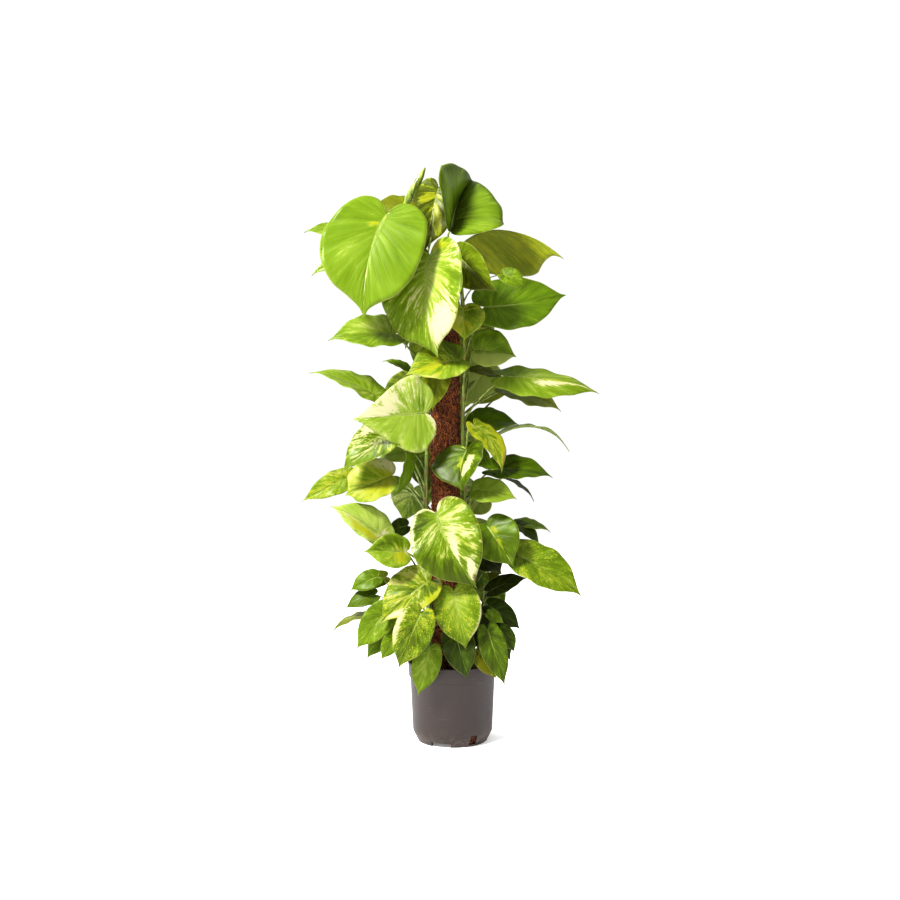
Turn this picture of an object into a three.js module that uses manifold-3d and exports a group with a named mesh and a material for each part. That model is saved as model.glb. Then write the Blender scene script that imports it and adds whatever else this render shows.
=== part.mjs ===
// A potted golden pothos (Epipremnum aureum) trained up a coir pole: nursery pot, potting soil, pole,
// climbing stems, their large leaves and a skirt of leafy young shoots. Millimetres, +Z up, the viewer
// stands at -Y. The origin is the middle of the pot's underside.
import * as THREE from "three";
import { mergeVertices } from "three/addons/utils/BufferGeometryUtils.js";
import Module from "manifold-3d";

const wasm = await Module();
wasm.setup();

// Driving dimensions of the pot, a 17 cm nursery pot.
const POT = {
  height: 155,
  rimRadius: 89,
  collarRadius: 87.2,
  collarHeight: 28,
  shoulderRadius: 84.2,
  footRadius: 79,
  chamferHeight: 20,
  baseRadius: 69,
  floor: 11,
  channelTop: 8.5,
  channelRadius: 62,
  dishRadius: 46,
  wall: 2,
  sides: 36,
};

// Drain slots through the chamfer and, between them, arches in the foot ring: azimuths run from straight
// ahead to the viewer's right.
const SLOTS = { count: 3, first: -88, width: 15, bottom: 4, top: 22, depth: 60 };
const ARCHES = { count: 3, first: -19, width: 40, height: 8, depth: 52 };

// The soil stops short of the rim and swells up a little towards the pole.
const SOIL = { edge: 137, dome: 8, lumps: 1.5, clearance: 0.8, sides: 20 };

// The pole: a round stake inside a sleeve of coir, bound with twine.
const POLE = { x: -14, y: 0, radius: 26.5, lumps: 0.8, bottom: 30, top: 886, sides: 14, rows: 18 };
const STAKE = { radius: 10.5, bottom: 14, top: 900, point: 24, tipRadius: 3, edge: 1.5, sides: 12 };
const TWINE = { radius: 0.8, pitch: 112, turns: 6, steps: 12, start: 158 };

// Neighbours that touch keep this gap. Blades have one thickness, and details finer than FINE are smoothed
// away.
const GAP = 0.3;
const BLADE = 0.8;
const FINE = 0.15;

// Blades: how much of the fold is gone at the margin, how closely the side veins start at the stalk, and the
// waves of the margin, in radians over the length and in heights as parts of the length.
const FORM = { easing: 0.35, crowding: 2.6, shoulder: 0.07, waves: 9, sides: 2.2, turn: 0.4 };
const WAVE = { large: 0.014, small: 0.012, rear: 0.012 };

// Stalks: radius of a large leaf's, a small leaf's and a rear leaf's, how far it leans out at its foot, how
// much of its reach goes into each end of its bow, and how it tapers.
const STALK = { large: 1.9, small: 1.1, rear: 1.5, lean: 0.45, rise: 0.42, fall: 0.3, longest: 34 };
const TAPER = { foot: 1.25, loss: 0.4, rib: 0.08, ribHeight: 0.6 };

// The front view that the leaves are set out in: across and up are read on the upright plane through the
// pot's axis, as seen from an eye this far in front of it and this high.
const EYE = new THREE.Vector3(-5, -2100, 576);

const UP = new THREE.Vector3(0, 0, 1);

// Climbing stems: thickness at the foot and the top, and the points they pass, [x, y, z].
const CLIMBING_STEMS = {
  vine_1: { foot: 4.8, top: 3.4, points: [
    [24, -8, 120], [20, -11, 260], [24, -7, 450], [20, -10, 650], [22, -8, 820], [18, -9, 900],
    [14, -6, 968],
  ] },
  vine_2: { foot: 5, top: 3.6, points: [
    [-50, -9, 120], [-48, -12, 270], [-53, -9, 460], [-49, -12, 650], [-51, -9, 820], [-48, -13, 905],
  ] },
  vine_3: { foot: 4.6, top: 3.2, points: [
    [-2, 35, 120], [2, 37, 280], [-4, 35, 470], [1, 37, 660], [-3, 35, 840], [2, 28, 960],
  ] },
  vine_4: { foot: 4.6, top: 3.2, points: [
    [-36, 33, 120], [-33, 32, 270], [-38, 32, 450], [-34, 33, 660], [-38, 30, 850], [-62, 18, 940],
    [-90, 4, 1020], [-95, -4, 1064],
  ] },
};

// Young shoots, which come up out of the soil and lean out over the rim.
const SHOOTS = {
  shoot_1: { foot: 2.6, top: 1.8, points: [
    [-50, 8, 120], [-62, 6, 180], [-88, 2, 235], [-118, -2, 276],
  ] },
  shoot_2: { foot: 2.6, top: 1.8, points: [
    [-58, -34, 120], [-64, -40, 175], [-82, -48, 205], [-100, -52, 228],
  ] },
  shoot_3: { foot: 2.6, top: 1.8, points: [
    [-34, -56, 120], [-38, -66, 175], [-48, -76, 215], [-56, -84, 246],
  ] },
  shoot_4: { foot: 2.6, top: 1.8, points: [
    [2, -50, 120], [4, -60, 200], [10, -66, 262], [20, -60, 310],
  ] },
  shoot_5: { foot: 2.6, top: 1.8, points: [
    [36, -46, 120], [42, -54, 170], [54, -62, 205], [62, -66, 226],
  ] },
  shoot_6: { foot: 2.6, top: 1.8, points: [
    [54, -20, 120], [60, -22, 175], [72, -26, 215], [78, -28, 240],
  ] },
  shoot_7: { foot: 2.6, top: 1.8, points: [
    [50, 14, 120], [54, 14, 200], [60, 10, 265], [64, 6, 306],
  ] },
  shoot_8: { foot: 2.6, top: 1.8, points: [
    [26, 52, 120], [30, 60, 190], [36, 72, 240], [40, 84, 280],
  ] },
  shoot_9: { foot: 2.6, top: 1.8, points: [
    [-46, 54, 120], [-50, 62, 190], [-58, 76, 240], [-66, 88, 280],
  ] },
};

// Large leaves. Each row holds: name, the stem it grows from, the height of its joint on that stem; heart
// and tip of the blade as [across, up, depth], depth behind the plane of the pole; then width in millimetres,
// roll and fold in degrees, arch and sweep of the midrib as parts of the blade's length, and for some how
// far the widest part is pushed down towards the tip.
const LARGE_LEAVES = [
  ["leaf_01", "vine_2", 880, [-131, 1048, -110], [-177, 842, -140], 192, 0, 8, 0.04, -0.07, 0.1],
  ["leaf_02", "vine_2", 830, [-45, 966, -80], [-33, 760, -100], 182, -28, 20, 0.06, -0.03, 0.12],
  ["leaf_03", "vine_4", 935, [-28, 1100, 64], [-58, 972, 44], 98, -10, 10, 0.02, 0],
  ["leaf_04", "vine_1", 950, [-5, 1014, -20], [45, 1122, 130], 216, -20, 63, 0, 0.05, -0.12],
  ["leaf_05", "vine_3", 850, [17, 987, 42], [225, 968, 110], 189, 54, -72, 0.02, 0.36, 0.15],
  ["leaf_06", "vine_1", 850, [11, 966, -45], [89, 892, -75], 84, -25, 30, 0.05, 0],
  ["leaf_07", "vine_1", 760, [65, 862, 10], [229, 890, 30], 116, 20, 10, 0.04, -0.06],
  ["leaf_08", "vine_2", 720, [-115, 808, -50], [-249, 800, -70], 108, -46, 12, 0.05, 0],
  ["leaf_09", "vine_1", 680, [15, 756, -62], [-95, 728, -80], 96, -35, 20, 0.05, 0],
  ["leaf_10", "vine_1", 780, [21, 860, -30], [25, 794, -52], 84, 10, 20, 0.05, 0],
  ["leaf_11", "vine_1", 652, [47, 776, 4], [129, 764, 10], 94, 26, 26, 0.05, 0],
  ["leaf_12", "vine_3", 650, [70, 742, 62], [19, 662, 68], 84, 0, 10, 0.05, 0],
  ["leaf_13", "vine_1", 628, [105, 724, -20], [295, 696, -10], 94, 50, -18, 0.05, -0.02],
  ["leaf_14", "vine_3", 615, [101, 698, 22], [219, 658, 30], 90, 60, 10, 0.05, 0],
  ["leaf_15", "vine_3", 570, [99, 696, 84], [33, 668, 88], 30, 0, 10, 0.05, 0],
  ["leaf_16", "vine_1", 560, [39, 628, 20], [133, 630, 32], 84, 55, 15, 0.05, 0],
  ["leaf_17", "vine_3", 540, [87, 604, 40], [235, 580, 40], 90, 84, 8, 0.2, 0],
  ["leaf_18", "vine_1", 530, [44, 624, -42], [101, 530, -54], 54, 40, 5, 0.02, 0.16],
  ["leaf_19", "vine_1", 470, [75, 536, 5], [201, 526, 10], 90, 62, 12, 0.06, 0],
  ["leaf_20", "vine_1", 500, [29, 576, -45], [21, 492, -85], 120, -36, 26, 0.05, -0.08, 0.05],
  ["leaf_21", "vine_1", 420, [47, 496, -40], [129, 480, -55], 66, 40, 12, 0.05, 0],
  ["leaf_22", "vine_3", 400, [63, 480, 40], [35, 446, 40], 50, 0, 10, 0.05, 0],
  ["leaf_23", "vine_2", 476, [-89, 572, -60], [-119, 478, -70], 60, 70, 20, 0.06, 0],
  ["leaf_24", "vine_2", 500, [-120, 614, -25], [-227, 531, -80], 109, -40, 22, 0.13, 0.14],
  ["leaf_25", "vine_4", 440, [-201, 523, -25], [-301, 475, -45], 50, -17, 12, 0.035, -0.01],
  ["leaf_26", "vine_2", 560, [-54, 650, -78], [-199, 637, -110], 150, 4, 8, 0.04, 0, -0.15],
  ["leaf_27", "vine_2", 450, [-121, 524, -42], [-216, 487, -50], 100, -39, 22, 0.03, 0.03, 0.16],
  ["leaf_28", "vine_2", 530, [-83, 574, 12], [-149, 560, 8], 50, -30, 12, 0.05, 0],
  ["leaf_29", "vine_4", 600, [-151, 684, -35], [-285, 736, -40], 90, -60, 12, 0.05, 0],
  ["leaf_30", "vine_2", 660, [-25, 740, -44], [-41, 654, -48], 60, -15, 20, 0.05, 0],
  ["leaf_31", "vine_2", 330, [-137, 402, -60], [-243, 466, -70], 74, -38, 28, 0.05, 0],
  ["leaf_32", "vine_2", 280, [-95, 372, -80], [-177, 374, -104], 68, -20, 15, 0.05, 0],
  ["leaf_33", "vine_2", 370, [-31, 448, -100], [49, 298, -120], 138, 0, 10, 0.06, -0.05, 0.04],
  ["leaf_34", "vine_1", 330, [69, 424, -40], [123, 342, -70], 98, 8, 15, 0.05, 0],
  ["leaf_35", "vine_1", 290, [61, 388, -14], [97, 328, -30], 76, -20, 15, 0.05, 0],
  ["leaf_36", "vine_1", 270, [127, 368, -35], [261, 286, -50], 90, 36, 15, 0.05, 0],
  ["leaf_37", "vine_2", 250, [-45, 314, -78], [-147, 228, -96], 108, -38, 24, 0.05, 0],
];

// Smaller leaves that belong to the climbing stems and the shoots themselves; each row is as above without a
// name.
const SMALL_LEAVES = [
  ["vine_4", 960, [-85, 1050, 12], [-170, 1044, 30], 90, -44, 10, 0.1, 0],
  ["vine_4", 900, [-185, 1000, 20], [-297, 1016, 30], 56, -48, 10, 0.08, 0],
  ["vine_4", 850, [-205, 952, 10], [-283, 928, 10], 60, -60, 10, 0.06, 0],
  ["vine_1", 865, [101, 928, -90], [147, 904, -96], 38, 20, 12, 0.06, 0],
  ["vine_1", 680, [39, 736, 24], [107, 716, 30], 40, 60, 10, 0.06, 0],
  ["vine_3", 500, [27, 576, 60], [81, 542, 64], 50, 30, 10, 0.06, 0],
  ["vine_1", 440, [101, 520, 24], [165, 476, 26], 40, 84, 10, 0.08, 0],
  ["vine_4", 660, [-89, 738, 40], [-139, 756, 44], 34, -60, 10, 0.06, 0],
  ["vine_4", 350, [-91, 424, 20], [-131, 412, 24], 40, -30, 10, 0.06, 0],
  ["vine_3", 340, [127, 428, 40], [175, 390, 40], 44, 60, 10, 0.06, 0],
  ["vine_3", 360, [135, 430, 56], [197, 414, 60], 40, 60, 10, 0.06, 0],
  ["shoot_1", 262, [-149, 322, -10], [-205, 296, -14], 44, -30, 10, 0.08, 0],
  ["shoot_1", 270, [-133, 322, 20], [-179, 302, 22], 36, -30, 10, 0.08, 0],
  ["shoot_1", 240, [-155, 286, -10], [-215, 260, -14], 44, -40, 10, 0.08, 0],
  ["shoot_1", 205, [-165, 246, -6], [-245, 210, -10], 40, -75, 10, 0.1, 0],
  ["shoot_2", 220, [-129, 258, -66], [-193, 178, -74], 62, -10, 12, 0.06, 0],
  ["shoot_2", 200, [-119, 226, -40], [-173, 158, -46], 46, -20, 10, 0.08, 0],
  ["shoot_2", 180, [-113, 208, -78], [-143, 156, -86], 36, 0, 10, 0.08, 0],
  ["shoot_2", 210, [-149, 246, -30], [-189, 226, -34], 24, -60, 10, 0.08, 0],
  ["shoot_3", 222, [-63, 250, -133], [-109, 138, -133], 74, -5, 12, 0.06, 0],
  ["shoot_3", 170, [-45, 180, -104], [-69, 84, -106], 56, 5, 10, 0.04, 0],
  ["shoot_3", 190, [-75, 200, -90], [-85, 150, -96], 44, 0, 10, 0.05, 0],
  ["shoot_4", 280, [3, 294, -96], [27, 176, -108], 92, 0, 12, 0.06, 0],
  ["shoot_4", 170, [5, 216, -86], [29, 116, -98], 64, 0, 10, 0.05, 0],
  ["shoot_4", 290, [60, 328, -66], [37, 292, -70], 34, 0, 10, 0.05, 0],
  ["shoot_5", 205, [71, 216, -84], [105, 104, -92], 52, 0, 10, 0.05, 0],
  ["shoot_5", 160, [50, 176, -82], [89, 118, -88], 40, 10, 10, 0.05, 0],
  ["shoot_5", 190, [55, 240, -50], [43, 176, -56], 44, 0, 10, 0.05, 0],
  ["shoot_6", 200, [95, 218, -40], [125, 172, -46], 38, 20, 10, 0.05, 0],
  ["shoot_6", 190, [79, 222, -20], [117, 154, -26], 46, 0, 10, 0.05, 0],
  ["shoot_6", 220, [71, 250, -56], [103, 230, -60], 26, 30, 10, 0.05, 0],
  ["shoot_7", 230, [73, 264, 6], [137, 218, 4], 52, 30, 10, 0.06, 0],
  ["shoot_7", 260, [75, 294, -4], [149, 322, -6], 46, 50, 10, 0.06, 0],
  ["shoot_7", 280, [63, 316, 14], [99, 330, 14], 26, 60, 10, 0.06, 0],
  ["shoot_8", 200, [70, 250, 96], [104, 170, 116], 60, 170, 10, 0.06, 0],
  ["shoot_8", 262, [70, 318, 130], [90, 236, 160], 64, 170, 10, 0.06, 0],
  ["shoot_8", 180, [10, 224, 104], [14, 130, 122], 58, 180, 10, 0.06, 0],
  ["shoot_9", 200, [-96, 246, 92], [-136, 172, 110], 58, 190, 10, 0.06, 0],
  ["shoot_9", 262, [-78, 318, 118], [-104, 232, 148], 66, 190, 10, 0.06, 0],
  ["shoot_9", 180, [-44, 222, 108], [-50, 126, 120], 56, 180, 10, 0.06, 0],
];

// One half of the heart-shaped blade, from the notch at the stalk round to the tip: along, then out from the
// midrib, for a blade of length 1.
const HALF_OUTLINE = [
  [0, 0], [-0.07, 0.04], [-0.13, 0.13], [-0.11, 0.27], [0.02, 0.4], [0.22, 0.47],
  [0.44, 0.44], [0.66, 0.32], [0.85, 0.14], [0.94, 0.045], [1, 0],
];
const WIDEST = 0.47;
const PUSHED = 0.02;

// The unopened leaf at the top of vine_4: a pointed roll, thickness at its middle.
const NEW_LEAF = {
  radius: 5.5,
  taper: [0.5, 0.9, 1, 0.9, 0.72, 0.45, 0.14],
  points: [[-95, -6, 1062], [-84, -10, 1085], [-70, -14, 1108], [-55, -16, 1136]],
};

// Leaves on the far side of the pole, set out by a rule: one every step up the two rear stems, turned by
// lean or lean and swing from straight back, at a reach and of a length that a seeded draw varies. Droop is
// how steeply they hang, in degrees, and spread is how far that and their roll vary.
const BACK_LEAVES = {
  stems: ["vine_3", "vine_4"],
  each: 6,
  first: 250,
  step: 112,
  lean: 4,
  swing: 20,
  reach: [56, 100],
  rise: 0.7,
  length: 136,
  slimness: 0.78,
  droop: 38,
  spread: 30,
};

const stems = { ...CLIMBING_STEMS, ...SHOOTS };
const group = new THREE.Group();

function toSolid(geometry) {
  geometry.deleteAttribute("normal");
  geometry.deleteAttribute("uv");
  const merged = mergeVertices(geometry, 1e-4);
  return new wasm.Manifold(new wasm.Mesh({
    numProp: 3,
    vertProperties: new Float32Array(merged.attributes.position.array),
    triVerts: new Uint32Array(merged.index.array),
  }));
}

function toGeometry(solid) {
  const mesh = solid.getMesh();
  const geometry = new THREE.BufferGeometry();
  geometry.setAttribute("position", new THREE.BufferAttribute(mesh.vertProperties, 3));
  geometry.setIndex(new THREE.BufferAttribute(mesh.triVerts, 1));
  geometry.computeVertexNormals();
  return geometry;
}

function addPiece(name, solid, material) {
  const mesh = new THREE.Mesh(toGeometry(solid), material);
  mesh.name = name;
  group.add(mesh);
}

function fromTriangles(points, triangles) {
  const geometry = new THREE.BufferGeometry();
  const places = points.flatMap((p) => p.toArray());
  geometry.setAttribute("position", new THREE.Float32BufferAttribute(places, 3));
  geometry.setIndex(triangles.flat());
  return geometry;
}

// The point at a depth that the eye sees in line with a place on the upright plane through the pot's axis.
function seen([across, up, depth]) {
  const onPlane = new THREE.Vector3(across, 0, up);
  return onPlane.sub(EYE).multiplyScalar((depth - EYE.y) / -EYE.y).add(EYE);
}

// A closed round bar along a list of points, with a radius at each of them.
function bar(points, radii, sides) {
  const ring = [];
  const corners = [];
  const triangles = [];
  let across = new THREE.Vector3(1, 0, 0);
  const end = points.length - 1;
  points.forEach((point, i) => {
    const along = points[Math.min(i + 1, end)].clone().sub(points[Math.max(i - 1, 0)]).normalize();
    if (i === 0 && Math.abs(along.x) > 0.9) across.set(0, 0, 1);
    across = across.addScaledVector(along, -across.dot(along)).normalize();
    const other = along.clone().cross(across);
    for (let k = 0; k < sides; k++) {
      const turn = (2 * Math.PI * k) / sides;
      const out = across.clone().multiplyScalar(Math.cos(turn)).addScaledVector(other, Math.sin(turn));
      corners.push(point.clone().addScaledVector(out, radii[i]));
    }
    ring.push(i * sides);
  });
  for (let i = 0; i < end; i++) {
    for (let k = 0; k < sides; k++) {
      const next = (k + 1) % sides;
      triangles.push([ring[i] + k, ring[i] + next, ring[i + 1] + next]);
      triangles.push([ring[i] + k, ring[i + 1] + next, ring[i + 1] + k]);
    }
  }
  const last = ring[end];
  for (let k = 1; k + 1 < sides; k++) {
    triangles.push([0, k + 1, k]);
    triangles.push([last, last + k, last + k + 1]);
  }
  return toSolid(fromTriangles(corners, triangles));
}

// Stems: a smooth curve through the points, and the place and thickness at a height on it.
function stemCurve(stem) {
  const points = stem.points.map((p) => new THREE.Vector3(...p));
  return new THREE.CatmullRomCurve3(points, false, "catmullrom", 0.5);
}

function atHeight(stem, height) {
  const curve = stemCurve(stem);
  let low = 0;
  let high = 1;
  for (let i = 0; i < 30; i++) {
    const middle = (low + high) / 2;
    if (curve.getPoint(middle).z < height) low = middle;
    else high = middle;
  }
  return curve.getPoint(low);
}

function stemSolid(stem, spare = 0) {
  const curve = stemCurve(stem);
  const climbing = stem.foot > 4;
  const steps = climbing ? 10 : 5;
  const points = [];
  const radii = [];
  for (let i = 0; i <= steps; i++) {
    const t = i / steps;
    points.push(curve.getPoint(t));
    radii.push(stem.foot + (stem.top - stem.foot) * t + spare);
  }
  return bar(points, radii, climbing ? 6 : 5);
}

// A blade's own axes: m runs from the heart to the tip, n out of its upper face and s across it. An unrolled
// blade faces the viewer, and roll turns its upper face about the midrib.
function bladeAxes(heart, tip, roll) {
  const m = tip.clone().sub(heart).normalize();
  const facing = new THREE.Vector3(0, -1, 0);
  facing.addScaledVector(m, -facing.dot(m)).normalize();
  const side = facing.clone().cross(m);
  const turn = THREE.MathUtils.degToRad(roll);
  const n = facing.clone().multiplyScalar(Math.cos(turn)).addScaledVector(side, Math.sin(turn));
  const s = side.multiplyScalar(Math.cos(turn)).addScaledVector(facing, -Math.sin(turn));
  return { m, n, s };
}

// A blade: heart-shaped outline, folded along the midrib, arched along it and waved at the margin. Its rows
// run as the side veins do, from the midrib forward to the margin, and both faces are split into triangles
// alike.
function bladeSolid(leaf, rows, columns) {
  const { heart, tip, width, fold, arch, sweep } = leaf;
  const length = heart.distanceTo(tip);
  const { m, n, s } = bladeAxes(heart, tip, leaf.roll);
  const outline = new THREE.SplineCurve(HALF_OUTLINE.map((p) => new THREE.Vector2(...p)));
  const bend = THREE.MathUtils.degToRad(fold);

  function place(along, out) {
    const t = THREE.MathUtils.clamp(along, 0, 1);
    const part = Math.abs(out) / WIDEST;
    const across = (out * width) / (2 * WIDEST);
    const angle = bend * (1 - FORM.easing * part);
    const bulge = along < 0 ? 2 * arch * along : 4 * arch * t * (1 - t);
    const turn = FORM.waves * along + FORM.sides * Math.sign(out) + leaf.phase;
    const wave = leaf.wave * part * part * Math.sin(turn);
    return heart.clone()
      .addScaledVector(m, along * length)
      .addScaledVector(s, across * Math.cos(angle) + 4 * sweep * t * (1 - t) * length)
      .addScaledVector(n, Math.abs(across) * Math.sin(angle) + (bulge + wave) * length);
  }

  const points = [];
  const ribs = [];
  for (let i = 0; i < rows; i++) {
    const t = i / rows;
    ribs.push(points.length);
    points.push(place(Math.pow(t, FORM.crowding), 0));
  }
  const tipIndex = points.length;
  points.push(tip.clone());
  const faces = [];
  for (const hand of [1, -1]) {
    const grid = [];
    for (let i = 0; i < rows; i++) {
      const t = i / rows;
      const root = Math.pow(t, FORM.crowding);
      const margin = outline.getPoint(FORM.shoulder + (1 - FORM.shoulder) * t);
      if (margin.x > 0) margin.x += 4 * leaf.low * margin.x * (1 - margin.x);
      const row = [ribs[i]];
      for (let j = 1; j <= columns; j++) {
        const part = j / columns;
        row.push(points.length);
        points.push(place(root + (margin.x - root) * part, hand * margin.y * part));
      }
      grid.push(row);
    }
    const add = (a, b, c) => faces.push(hand > 0 ? [a, b, c] : [a, c, b]);
    for (let i = 0; i < rows; i++) {
      for (let j = 0; j < columns; j++) {
        if (i + 1 < rows) {
          add(grid[i][j], grid[i + 1][j], grid[i][j + 1]);
          add(grid[i + 1][j], grid[i + 1][j + 1], grid[i][j + 1]);
        } else {
          add(grid[i][j], tipIndex, grid[i][j + 1]);
        }
      }
    }
  }
  return thickened(points, faces, n);
}

// Gives a sheet of triangles its thickness, along the average slope at each corner.
function thickened(points, faces, upward) {
  const slopes = points.map(() => new THREE.Vector3());
  const slope = new THREE.Vector3();
  for (const [a, b, c] of faces) {
    slope.crossVectors(points[b].clone().sub(points[a]), points[c].clone().sub(points[a]));
    for (const corner of [a, b, c]) slopes[corner].add(slope);
  }
  const turned = slopes[0].dot(upward) < 0 ? -1 : 1;
  const all = [];
  for (const side of [1, -1]) {
    const shift = (side * turned * BLADE) / 2;
    points.forEach((point, i) => {
      all.push(point.clone().addScaledVector(slopes[i].clone().normalize(), shift));
    });
  }
  const count = points.length;
  const edges = new Map();
  const triangles = [];
  for (const face of faces) {
    const [a, b, c] = turned > 0 ? face : [face[0], face[2], face[1]];
    triangles.push([a, b, c]);
    triangles.push([a + count, c + count, b + count]);
    for (const [from, to] of [[a, b], [b, c], [c, a]]) edges.set(`${from} ${to}`, [from, to]);
  }
  for (const [from, to] of edges.values()) {
    if (edges.has(`${to} ${from}`)) continue;
    triangles.push([to, from, from + count]);
    triangles.push([to, from + count, to + count]);
  }
  return toSolid(fromTriangles(all, triangles));
}

// The stalk leaves its stem upward, arches over and comes down into the blade from behind, where it runs on
// as the foot of the midrib.
function stalkSolid(leaf, thickness, steps) {
  const { m, n } = bladeAxes(leaf.heart, leaf.tip, leaf.roll);
  const from = leaf.root;
  const reach = leaf.heart.distanceTo(from);
  const outward = leaf.heart.clone().sub(from).setZ(0).normalize();
  const leave = outward.multiplyScalar(STALK.lean).add(UP).normalize();
  const arrive = n.clone().multiplyScalar(0.8).addScaledVector(m, 0.6).normalize();
  const joint = leaf.heart.clone().addScaledVector(n, -0.5 * thickness);
  const curve = new THREE.CubicBezierCurve3(
    from,
    from.clone().addScaledVector(leave, STALK.rise * reach),
    joint.clone().addScaledVector(arrive, -Math.min(STALK.fall * reach, STALK.longest)),
    joint,
  );
  const points = curve.getPoints(steps);
  const radii = points.map((p, i) => thickness * (TAPER.foot - (TAPER.loss * i) / steps));
  const length = leaf.heart.distanceTo(leaf.tip);
  points.push(joint.clone().addScaledVector(m, TAPER.rib * length).addScaledVector(n, TAPER.ribHeight));
  radii.push(0.6 * thickness);
  return bar(points, radii, thickness > STALK.small ? 4 : 3);
}

// A draw between 0 and 1 that is the same for the same number.
function draw(number) {
  const value = Math.sin(number * 12.9898) * 43758.5453;
  return value - Math.floor(value);
}

function backLeaf(stem, side, i) {
  const number = 10 * side + i;
  const turn = BACK_LEAVES.lean + (i % 2) * BACK_LEAVES.swing;
  const azimuth = THREE.MathUtils.degToRad(side ? -turn : turn);
  const out = new THREE.Vector3(Math.sin(azimuth), Math.cos(azimuth), 0);
  const root = atHeight(stem, BACK_LEAVES.first + BACK_LEAVES.step * (i + 0.5 * side));
  const reach = BACK_LEAVES.reach[side] * (0.85 + 0.3 * draw(number));
  const length = BACK_LEAVES.length * (0.8 + 0.4 * draw(number + 40));
  const heart = root.clone().addScaledVector(out, reach).addScaledVector(UP, BACK_LEAVES.rise * reach);
  const droop = THREE.MathUtils.degToRad(BACK_LEAVES.droop + BACK_LEAVES.spread * draw(number + 80));
  const tip = heart.clone()
    .addScaledVector(out, length * Math.cos(droop))
    .addScaledVector(UP, -length * Math.sin(droop));
  tip.x += BACK_LEAVES.spread * (draw(number + 120) - 0.5);
  return {
    root,
    heart,
    tip,
    width: BACK_LEAVES.slimness * length,
    roll: 180 + BACK_LEAVES.spread * (draw(number + 160) - 0.5),
    fold: 10,
    arch: 0.06,
    sweep: 0,
    low: PUSHED,
    wave: WAVE.rear,
    phase: 3 * i,
  };
}

function readLeaf([stem, jointHeight, heart, tip, width, roll, fold, arch, sweep, low = PUSHED], wave) {
  return {
    root: atHeight(stems[stem], jointHeight),
    heart: seen(heart),
    tip: seen(tip),
    width,
    roll,
    fold,
    arch,
    sweep,
    low,
    wave,
    phase: FORM.turn * heart[0],
  };
}

function newLeafSolid() {
  const curve = new THREE.CatmullRomCurve3(NEW_LEAF.points.map((p) => new THREE.Vector3(...p)));
  const points = curve.getPoints(NEW_LEAF.taper.length - 1);
  return bar(points, NEW_LEAF.taper.map((part) => part * NEW_LEAF.radius), 6);
}

// A ring or plug of the given section, turned round the upright axis.
function turned(profile, segments) {
  const geometry = new THREE.LatheGeometry(profile.map((p) => new THREE.Vector2(...p)), segments);
  geometry.rotateX(Math.PI / 2);
  return toSolid(geometry);
}

// The pot: collar, tapered wall and chamfered foot ring. The floor is dished in the middle and raised over
// a channel between dish and ring, which the drain slots and the arches open into.
function potSolid() {
  const outside = wallLine(0);
  const inside = wallLine(POT.wall).reverse();
  const dish = POT.dishRadius - POT.wall;
  const skin = POT.floor - POT.channelTop;
  const underside = [
    [dish, POT.floor], [dish, skin], [0, skin], [0, 0], [POT.dishRadius, 0],
    [POT.dishRadius, POT.channelTop], [POT.channelRadius, POT.channelTop], [POT.channelRadius, 0],
  ];
  let pot = turned([...outside, ...inside, ...underside, outside[0]], POT.sides);
  for (let i = 0; i < SLOTS.count; i++) {
    const middle = SLOTS.first + (360 * i) / SLOTS.count;
    pot = pot.subtract(cutter(middle, SLOTS.width, SLOTS.bottom, SLOTS.top, SLOTS.depth));
  }
  for (let i = 0; i < ARCHES.count; i++) {
    const middle = ARCHES.first + (360 * i) / ARCHES.count;
    pot = pot.subtract(cutter(middle, ARCHES.width, -ARCHES.height, ARCHES.height, ARCHES.depth));
  }
  return pot;
}

// The wall's line from foot to rim, set in from the outside by a distance.
function wallLine(inset) {
  const collarFoot = POT.height - POT.collarHeight;
  return [
    [POT.baseRadius - inset, inset > 0 ? POT.floor : 0],
    [POT.footRadius - inset, POT.chamferHeight],
    [POT.shoulderRadius - inset, collarFoot - 2],
    [POT.collarRadius - inset, collarFoot],
    [POT.rimRadius - inset, POT.height],
  ];
}

// A block that reaches in from outside the pot towards its axis.
function cutter(azimuth, width, low, high, near) {
  const far = POT.rimRadius + 10;
  const block = new THREE.BoxGeometry(width, far - near, high - low);
  block.translate(0, -(near + far) / 2, (low + high) / 2);
  block.rotateZ(THREE.MathUtils.degToRad(azimuth));
  return toSolid(block);
}

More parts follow.
